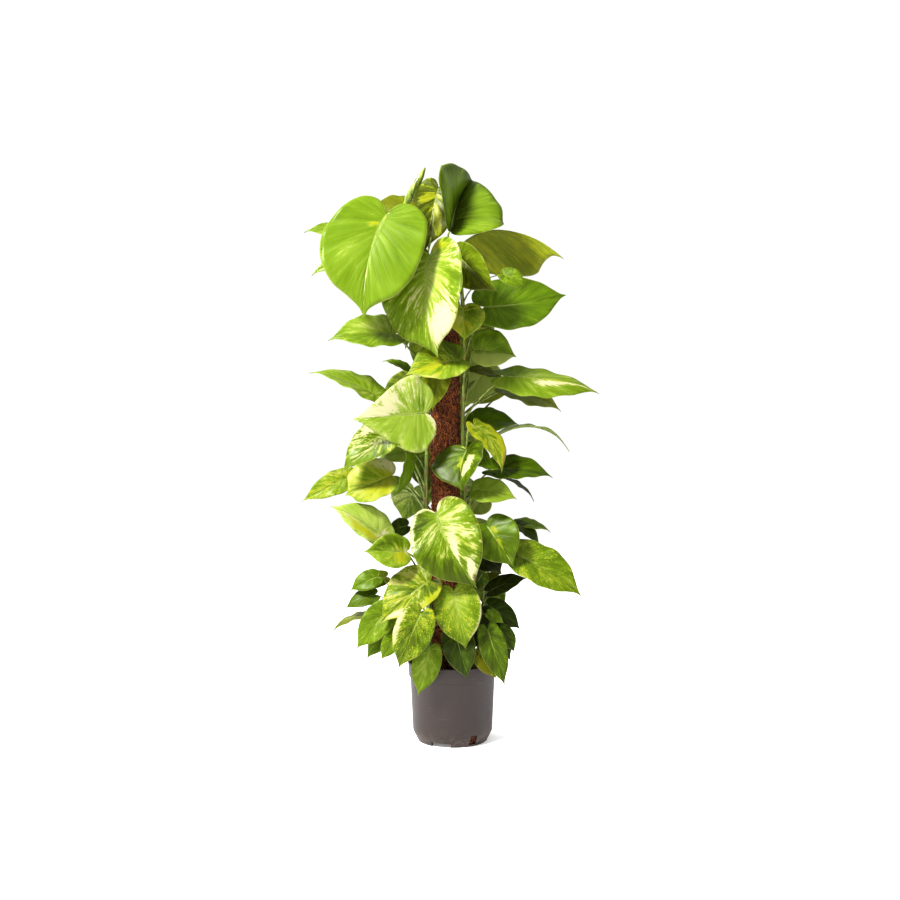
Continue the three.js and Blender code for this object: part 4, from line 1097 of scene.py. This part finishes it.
# A leaf's stem, the height of its joint, its heart and tip as across, up and depth, and its form:
# width, roll, fold, arch, sweep, and how far its widest part is pushed towards the tip.
LARGE_LEAVES = {
    "leaf_01": ("vine_2", 880, (-131, 1048, -110), (-177, 842, -140), 192, 0, 8, 0.04, -0.07, 0.1),
    "leaf_02": ("vine_2", 830, (-45, 966, -80), (-33, 760, -100), 182, -28, 20, 0.06, -0.03, 0.12),
    "leaf_03": ("vine_4", 935, (-28, 1100, 64), (-58, 972, 44), 98, -10, 10, 0.02, 0, 0.02),
    "leaf_04": ("vine_1", 950, (-5, 1014, -20), (45, 1122, 130), 216, -20, 63, 0, 0.05, -0.12),
    "leaf_05": ("vine_3", 850, (17, 987, 42), (225, 968, 110), 189, 54, -72, 0.02, 0.36, 0.15),
    "leaf_06": ("vine_1", 850, (11, 966, -45), (89, 892, -75), 84, -25, 30, 0.05, 0, 0.02),
    "leaf_07": ("vine_1", 760, (65, 862, 10), (229, 890, 30), 116, 20, 10, 0.04, -0.06, 0.02),
    "leaf_08": ("vine_2", 720, (-115, 808, -50), (-249, 800, -70), 108, -46, 12, 0.05, 0, 0.02),
    "leaf_09": ("vine_1", 680, (15, 756, -62), (-95, 728, -80), 96, -35, 20, 0.05, 0, 0.02),
    "leaf_10": ("vine_1", 780, (21, 860, -30), (25, 794, -52), 84, 10, 20, 0.05, 0, 0.02),
    "leaf_11": ("vine_1", 652, (47, 776, 4), (129, 764, 10), 94, 26, 26, 0.05, 0, 0.02),
    "leaf_12": ("vine_3", 650, (70, 742, 62), (19, 662, 68), 84, 0, 10, 0.05, 0, 0.02),
    "leaf_13": ("vine_1", 628, (105, 724, -20), (295, 696, -10), 94, 50, -18, 0.05, -0.02, 0.02),
    "leaf_14": ("vine_3", 615, (101, 698, 22), (219, 658, 30), 90, 60, 10, 0.05, 0, 0.02),
    "leaf_15": ("vine_3", 570, (99, 696, 84), (33, 668, 88), 30, 0, 10, 0.05, 0, 0.02),
    "leaf_16": ("vine_1", 560, (39, 628, 20), (133, 630, 32), 84, 55, 15, 0.05, 0, 0.02),
    "leaf_17": ("vine_3", 540, (87, 604, 40), (235, 580, 40), 90, 84, 8, 0.2, 0, 0.02),
    "leaf_18": ("vine_1", 530, (44, 624, -42), (101, 530, -54), 54, 40, 5, 0.02, 0.16, 0.02),
    "leaf_19": ("vine_1", 470, (75, 536, 5), (201, 526, 10), 90, 62, 12, 0.06, 0, 0.02),
    "leaf_20": ("vine_1", 500, (29, 576, -45), (21, 492, -85), 120, -36, 26, 0.05, -0.08, 0.05),
    "leaf_21": ("vine_1", 420, (47, 496, -40), (129, 480, -55), 66, 40, 12, 0.05, 0, 0.02),
    "leaf_22": ("vine_3", 400, (63, 480, 40), (35, 446, 40), 50, 0, 10, 0.05, 0, 0.02),
    "leaf_23": ("vine_2", 476, (-89, 572, -60), (-119, 478, -70), 60, 70, 20, 0.06, 0, 0.02),
    "leaf_24": ("vine_2", 500, (-120, 614, -25), (-227, 531, -80), 109, -40, 22, 0.13, 0.14, 0.02),
    "leaf_25": ("vine_4", 440, (-201, 523, -25), (-301, 475, -45), 50, -17, 12, 0.035, -0.01, 0.02),
    "leaf_26": ("vine_2", 560, (-54, 650, -78), (-199, 637, -110), 150, 4, 8, 0.04, 0, -0.15),
    "leaf_27": ("vine_2", 450, (-121, 524, -42), (-216, 487, -50), 100, -39, 22, 0.03, 0.03, 0.16),
    "leaf_28": ("vine_2", 530, (-83, 574, 12), (-149, 560, 8), 50, -30, 12, 0.05, 0, 0.02),
    "leaf_29": ("vine_4", 600, (-151, 684, -35), (-285, 736, -40), 90, -60, 12, 0.05, 0, 0.02),
    "leaf_30": ("vine_2", 660, (-25, 740, -44), (-41, 654, -48), 60, -15, 20, 0.05, 0, 0.02),
    "leaf_31": ("vine_2", 330, (-137, 402, -60), (-243, 466, -70), 74, -38, 28, 0.05, 0, 0.02),
    "leaf_32": ("vine_2", 280, (-95, 372, -80), (-177, 374, -104), 68, -20, 15, 0.05, 0, 0.02),
    "leaf_33": ("vine_2", 370, (-31, 448, -100), (49, 298, -120), 138, 0, 10, 0.06, -0.05, 0.04),
    "leaf_34": ("vine_1", 330, (69, 424, -40), (123, 342, -70), 98, 8, 15, 0.05, 0, 0.02),
    "leaf_35": ("vine_1", 290, (61, 388, -14), (97, 328, -30), 76, -20, 15, 0.05, 0, 0.02),
    "leaf_36": ("vine_1", 270, (127, 368, -35), (261, 286, -50), 90, 36, 15, 0.05, 0, 0.02),
    "leaf_37": ("vine_2", 250, (-45, 314, -78), (-147, 228, -96), 108, -38, 24, 0.05, 0, 0.02),
}

# Its marking, its tone from deep green to lime, which is partly the leaf's own green and partly
# painted light and shade, and patches: the kind, the place along the leaf, the place from the
# midrib (above 0 to the left of one who looks from stalk to tip), and how far the patch reaches
# along the leaf and across it. Patches of the kinds bright and painted_shade paint light and shade on the
# leaf.
LARGE_LEAF_LOOKS = {
    "leaf_01": ("plain", 0.7,
        ("yellow", 0.42, -0.14, 0.035, 0.12), ("cream", 0.9, 0.1, 0.12, 0.12),
        ("cream", 0.1, 0.1, 0.06, 0.1),
    ),
    # The painted_shade patch at its upper left paints the shadow that leaf_01 casts on it.
    "leaf_02": ("streaked", 0.56,
        ("cream", 0.68, 0.75, 0.15, 0.28), ("cream", 0.86, 0.1, 0.08, 0.3),
        ("yellow", 0.15, 0.6, 0.12, 0.25), ("bright", 0.5, 0.2, 0.4, 0.4), ("painted_shade", 0.15, -0.7, 0.3, 0.4),
    ),
    "leaf_03": ("dusky", 0.16,
        ("yellow", 0.45, -0.3, 0.06, 0.5), ("yellow", 0.62, 0.3, 0.06, 0.5),
        ("yellow", 0.88, 0, 0.12, 0.6),
    ),
    # Its bright patches lift both halves out of the shade they lie in.
    "leaf_04": ("green", 0.22,
        ("bright", 0.4, -0.7, 0.6, 0.35), ("bright", 0.5, 0.6, 0.6, 0.4),
    ),
    "leaf_05": ("striped", 0.8,
        ("cream", 0.72, 0.4, 0.1, 0.2),
    ),
    "leaf_06": ("dusky", 0.12,
        ("bright", 0.6, 0.7, 0.6, 0.5),
    ),
    "leaf_07": ("plain", 0.5,
        ("yellow", 0.03, 0, 0.05, 0.9),
    ),
    "leaf_08": ("fresh", 0.55,
        ("yellow", 0.05, 0, 0.15, 0.7), ("bright", 0.5, -0.4, 0.4, 0.5),
    ),
    "leaf_09": ("marbled", 0.72,
        ("yellow", 0.75, 0.2, 0.2, 0.5), ("green", 0.1, 0, 0.3, 1.5), ("painted_shade", 0.4, -0.4, 0.3, 0.5),
    ),
    "leaf_10": ("marbled", 0.75,
        ("yellow", 0.4, -0.8, 0.4, 0.3), ("painted_shade", 0.3, 0.3, 0.3, 0.5), ("yellow", 0.85, 0, 0.12, 0.4),
    ),
    "leaf_11": ("green", 0.95,
        ("bright", 0.45, -0.7, 0.5, 0.4), ("painted_shade", 0.5, 0.5, 0.6, 0.5),
    ),
    "leaf_12": ("pale", 1.4),
    "leaf_13": ("fresh", 0.7,
        ("yellow", 0.8, 0, 0.12, 0.4), ("cream", 0.9, -0.2, 0.08, 0.4),
        ("cream", 0.68, -0.35, 0.16, 0.25), ("green", 0.2, 0, 0.3, 1),
    ),
    "leaf_14": ("olive", 1,
        ("yellow", 0.02, 0, 0.1, 0.8),
    ),
    "leaf_15": ("olive", 1.1),
    "leaf_16": ("plain", 0.52),
    "leaf_17": ("pale", 1),
    "leaf_18": ("marbled", 0.55,
        ("yellow", 0.6, 0.8, 0.3, 0.2), ("yellow", 0.2, -0.8, 0.3, 0.2),
        ("scorch", 0.75, 0.9, 0.12, 0.08),
    ),
    "leaf_19": ("plain", 0.34),
    "leaf_20": ("green", 0.32,
        ("yellow", 0.06, -0.5, 0.06, 0.4), ("cream", 0.6, 0.5, 0.2, 0.25),
        ("yellow", 0.65, -0.05, 0.15, 0.12),
    ),
    "leaf_21": ("green", 0.9),
    "leaf_22": ("plain", 1.2),
    "leaf_23": ("plain", 0.62),
    "leaf_24": ("streaked", 0.4,
        ("cream", 0.85, 0.0, 0.25, 0.2), ("cream", 0.45, -0.7, 0.12, 0.25),
        ("yellow", 0.3, 0.4, 0.2, 0.3),
    ),
    "leaf_25": ("marbled", 0.6),
    "leaf_26": ("frosted", 0.95,
        ("green", 0.5, 0.35, 0.3, 0.5), ("cream", 0.02, 0.6, 0.14, 0.4), ("green", 0.15, -0.8, 0.2, 0.5),
        ("cream", 0.75, -0.6, 0.15, 0.4), ("painted_shade", 0.35, -0.25, 0.12, 0.2),
    ),
    "leaf_27": ("marbled", 0.75,
        ("yellow", 0.3, 0.3, 0.3, 0.5), ("cream", 0.25, -0.7, 0.15, 0.3), ("green", 0.1, 0.8, 0.2, 0.3),
    ),
    "leaf_28": ("plain", 1.05),
    "leaf_29": ("fresh", 0.8),
    "leaf_30": ("brownish", 0.6),
    "leaf_31": ("pale", 1.1,
        ("green", 0.6, -0.4, 0.3, 0.5), ("yellow", 0.5, 0.6, 0.3, 0.3), ("cream", 0.2, 0, 0.2, 0.5),
    ),
    "leaf_32": ("fresh", 0.75,
        ("yellow", 0.35, 0.3, 0.25, 0.5), ("cream", 0.08, 0, 0.15, 0.4), ("painted_shade", 0.7, -0.6, 0.4, 0.4),
    ),
    "leaf_33": ("streaked", 0.3,
        ("cream", 0.7, 0.25, 0.15, 0.15), ("cream", 0.75, 0.8, 0.12, 0.12),
        ("cream", 0.06, 0.75, 0.06, 0.3), ("cream", 0.28, -0.95, 0.2, 0.1),
        ("cream", 0.05, -0.5, 0.05, 0.4), ("scorch", 0.13, 1, 0.06, 0.11), ("scorch", 0.8, 1, 0.05, 0.06),
        ("green", 0.65, -0.9, 0.2, 0.2), ("bright", 0.3, 0.2, 0.5, 0.6),
    ),
    "leaf_34": ("green", 0.45,
        ("yellow", 0.75, 0.1, 0.14, 0.16), ("cream", 0.92, 0.2, 0.06, 0.3),
        ("yellow", 0.45, 0.15, 0.12, 0.1),
    ),
    "leaf_35": ("plain", 0),
    "leaf_36": ("freckled", 0.52),
    "leaf_37": ("marbled", 0.42,
        ("yellow", 0.4, 0.9, 0.3, 0.16), ("cream", 0.7, 0.8, 0.2, 0.12),
    ),
}

for node, (stem, joint, heart, tip, *form) in LARGE_LEAVES.items():
    leaf = Blade(
        stem_point(stem, joint), seen(*heart), seen(*tip), form,
        WAVE["large"], FORM["turn"] * heart[0], LARGE_LEAF_LOOKS[node],
    )
    foliage = Foliage()
    foliage.blade(leaf, **LARGE_BLADE)
    foliage.stalk(leaf, STALK["large"], **LARGE_STALK)
    foliage.piece("grown_" + node, node)


# Smaller leaves, on the climbing stems and the shoots, of the same build and set out alike: stem,
# joint, heart, tip, form, marking, tone and patches, where the tone is again partly painted light
# and shade. Those on the far side of the pole follow a rule: one every step up the two rear stems.
SMALL_LEAVES = [
    ("vine_4", 960, (-85, 1050, 12), (-170, 1044, 30), (90, -44, 10, 0.1), "olive", 0.37),
    ("vine_4", 900, (-185, 1000, 20), (-297, 1016, 30), (56, -48, 10, 0.08), "fresh", 0.61),
    ("vine_4", 850, (-205, 952, 10), (-283, 928, 10), (60, -60, 10, 0.06), "fresh", 0.61),
    ("vine_1", 865, (101, 928, -90), (147, 904, -96), (38, 20, 12, 0.06), "fresh", 0.49),
    ("vine_1", 680, (39, 736, 24), (107, 716, 30), (40, 60, 10, 0.06), "olive", 0.37),
    ("vine_3", 500, (27, 576, 60), (81, 542, 64), (50, 30, 10, 0.06), "fresh", 0.57),
    ("vine_1", 440, (101, 520, 24), (165, 476, 26), (40, 84, 10, 0.08), "plain", 0.2),
    ("vine_4", 660, (-89, 738, 40), (-139, 756, 44), (34, -60, 10, 0.06), "pale", 0.61),
    ("vine_4", 350, (-91, 424, 20), (-131, 412, 24), (40, -30, 10, 0.06), "plain", 0.2),
    ("vine_3", 340, (127, 428, 40), (175, 390, 40), (44, 60, 10, 0.06), "plain", 0.25),
    ("vine_3", 360, (135, 430, 56), (197, 414, 60), (40, 60, 10, 0.06), "fresh", 0.57),
    ("shoot_1", 262, (-149, 322, -10), (-205, 296, -14), (44, -30, 10, 0.08), "green", 0.49),
    ("shoot_1", 270, (-133, 322, 20), (-179, 302, 22), (36, -30, 10, 0.08), "olive", 0.34),
    ("shoot_1", 240, (-155, 286, -10), (-215, 260, -14), (44, -40, 10, 0.08), "green", 0.41),
    ("shoot_1", 205, (-165, 246, -6), (-245, 210, -10), (40, -75, 10, 0.1), "olive", 0.34),
    ("shoot_2", 220, (-129, 258, -66), (-193, 178, -74), (62, -10, 12, 0.06), "fresh", 0.56),
    ("shoot_2", 200, (-119, 226, -40), (-173, 158, -46), (46, -20, 10, 0.08), "green", 0.41),
    ("shoot_2", 180, (-113, 208, -78), (-143, 156, -86), (36, 0, 10, 0.08), "fresh", 0.49),
    ("shoot_2", 210, (-149, 246, -30), (-189, 226, -34), (24, -60, 10, 0.08), "brownish", 0.12),
    ("shoot_3", 222, (-63, 250, -133), (-109, 138, -133), (74, -5, 12, 0.06), "freckled", 0.39,
        ("cream", 0.45, -0.9, 0.15, 0.2), ("yellow", 0.1, 0.8, 0.15, 0.3),
    ),
    ("shoot_3", 170, (-45, 180, -104), (-69, 84, -106), (56, 5, 10, 0.04), "fresh", 0.49,
        ("bright", 0.8, 0, 0.3, 0.6),
    ),
    ("shoot_3", 190, (-75, 200, -90), (-85, 150, -96), (44, 0, 10, 0.05), "plain", 0.16),
    ("shoot_4", 280, (3, 294, -96), (27, 176, -108), (92, 0, 12, 0.06), "freckled", 0.46,
        ("cream", 0.55, 1, 0.2, 0.08), ("bright", 0.5, 0, 0.6, 0.6),
    ),
    ("shoot_4", 170, (5, 216, -86), (29, 116, -98), (64, 0, 10, 0.05), "plain", 0.2),
    ("shoot_4", 290, (60, 328, -66), (37, 292, -70), (34, 0, 10, 0.05), "plain", 0.25),
    ("shoot_5", 205, (71, 216, -84), (105, 104, -92), (52, 0, 10, 0.05), "green", 0.34),
    ("shoot_5", 160, (50, 176, -82), (89, 118, -88), (40, 10, 10, 0.05), "brownish", 0.12),
    ("shoot_5", 190, (55, 240, -50), (43, 176, -56), (44, 0, 10, 0.05), "plain", 0.12),
    ("shoot_6", 200, (95, 218, -40), (125, 172, -46), (38, 20, 10, 0.05), "plain", 0.29),
    ("shoot_6", 190, (79, 222, -20), (117, 154, -26), (46, 0, 10, 0.05), "plain", 0.12),
    ("shoot_6", 220, (71, 250, -56), (103, 230, -60), (26, 30, 10, 0.05), "pale", 0.61),
    ("shoot_7", 230, (73, 264, 6), (137, 218, 4), (52, 30, 10, 0.06), "plain", 0.16),
    ("shoot_7", 260, (75, 294, -4), (149, 322, -6), (46, 50, 10, 0.06), "plain", 0.12),
    ("shoot_7", 280, (63, 316, 14), (99, 330, 14), (26, 60, 10, 0.06), "olive", 0.33),
    ("shoot_8", 200, (70, 250, 96), (104, 170, 116), (60, 170, 10, 0.06), "green", 0.37),
    ("shoot_8", 262, (70, 318, 130), (90, 236, 160), (64, 170, 10, 0.06), "streaked", 0.41),
    ("shoot_8", 180, (10, 224, 104), (14, 130, 122), (58, 180, 10, 0.06), "freckled", 0.41),
    ("shoot_9", 200, (-96, 246, 92), (-136, 172, 110), (58, 190, 10, 0.06), "freckled", 0.41),
    ("shoot_9", 262, (-78, 318, 118), (-104, 232, 148), (66, 190, 10, 0.06), "marbled", 0.41),
    ("shoot_9", 180, (-44, 222, 108), (-50, 126, 120), (56, 180, 10, 0.06), "green", 0.37),
]
BACK_LEAVES = {
    "stems": ("vine_3", "vine_4"), "each": 6, "first": 250, "step": 112, "lean": 4, "swing": 20,
    "reach": (56, 100), "rise": 0.7, "length": 136, "slimness": 0.78, "sway": 30,
    "fold": 10, "arch": 0.06, "phase": 3, "markings": ("green", "marbled", "freckled", "streaked"),
}
BACK_DRAWS = {
    "reach": (0.85, 0.3, 0), "length": (0.8, 0.4, 40), "droop": (38, 30, 80), "tip": (-0.5, 1, 120),
    "roll": (-0.5, 1, 160), "tone": (0.35, 0.3, 7),
}
BROAD = 60
BROAD_BLADE = {"rows": 44, "columns": 9}
NARROW_BLADE = {"rows": 30, "columns": 6}
SMALL_STALK = {"steps": 14, "corners": 6}
SCATTER = (12.9898, 43758.5453)


def drawn(measure, number):
    """A measure of one rear leaf: least, range and shift of a draw that is the same on every run."""
    least, spread, shift = BACK_DRAWS[measure]
    value = math.sin((number + shift) * SCATTER[0]) * SCATTER[1]
    return least + spread * (value - math.floor(value))


def back_leaf(side, i):
    number = 10 * side + i
    rule = BACK_LEAVES
    turn = math.radians((rule["lean"] + (i % 2) * rule["swing"]) * (-1 if side else 1))
    out = Vector((math.sin(turn), math.cos(turn), 0))
    root = stem_point(rule["stems"][side], rule["first"] + rule["step"] * (i + 0.5 * side))
    reach = rule["reach"][side] * drawn("reach", number)
    length = rule["length"] * drawn("length", number)
    heart = root + out * reach + Vector((0, 0, rule["rise"] * reach))
    droop = math.radians(drawn("droop", number))
    tip = heart + out * length * math.cos(droop) - Vector((0, 0, length * math.sin(droop)))
    tip.x += rule["sway"] * drawn("tip", number)
    roll = 180 + rule["sway"] * drawn("roll", number)
    form = (rule["slimness"] * length, roll, rule["fold"], rule["arch"], 0, PUSHED)
    marking = rule["markings"][number % len(rule["markings"])]
    return Blade(
        root, heart, tip, form, WAVE["rear"], rule["phase"] * i, (marking, drawn("tone", number))
    )


for name in STEMS:
    rows = [row for row in SMALL_LEAVES if row[0] == name]
    joints = [row[1] for row in rows] + [row[1] for row in LARGE_LEAVES.values() if row[0] == name]
    blades = []
    for stem, joint, heart, tip, form, *looks in rows:
        leaf = Blade(
            stem_point(stem, joint), seen(*heart), seen(*tip), (*form, 0, PUSHED),
            WAVE["small"], FORM["turn"] * heart[0], looks,
        )
        blades.append((leaf, STALK["small"]))
    if name in BACK_LEAVES["stems"]:
        for i in range(BACK_LEAVES["each"]):
            leaf = back_leaf(BACK_LEAVES["stems"].index(name), i)
            blades.append((leaf, STALK["rear"]))
            joints.append(leaf.root.z)
    foliage = Foliage()
    for leaf, thickness in blades:
        foliage.blade(leaf, **(BROAD_BLADE if leaf.width > BROAD else NARROW_BLADE))
        foliage.stalk(leaf, thickness, **SMALL_STALK)
    if blades:
        foliage.piece("small_leaves_of_" + name, name)
    raise_stem(name, joints)
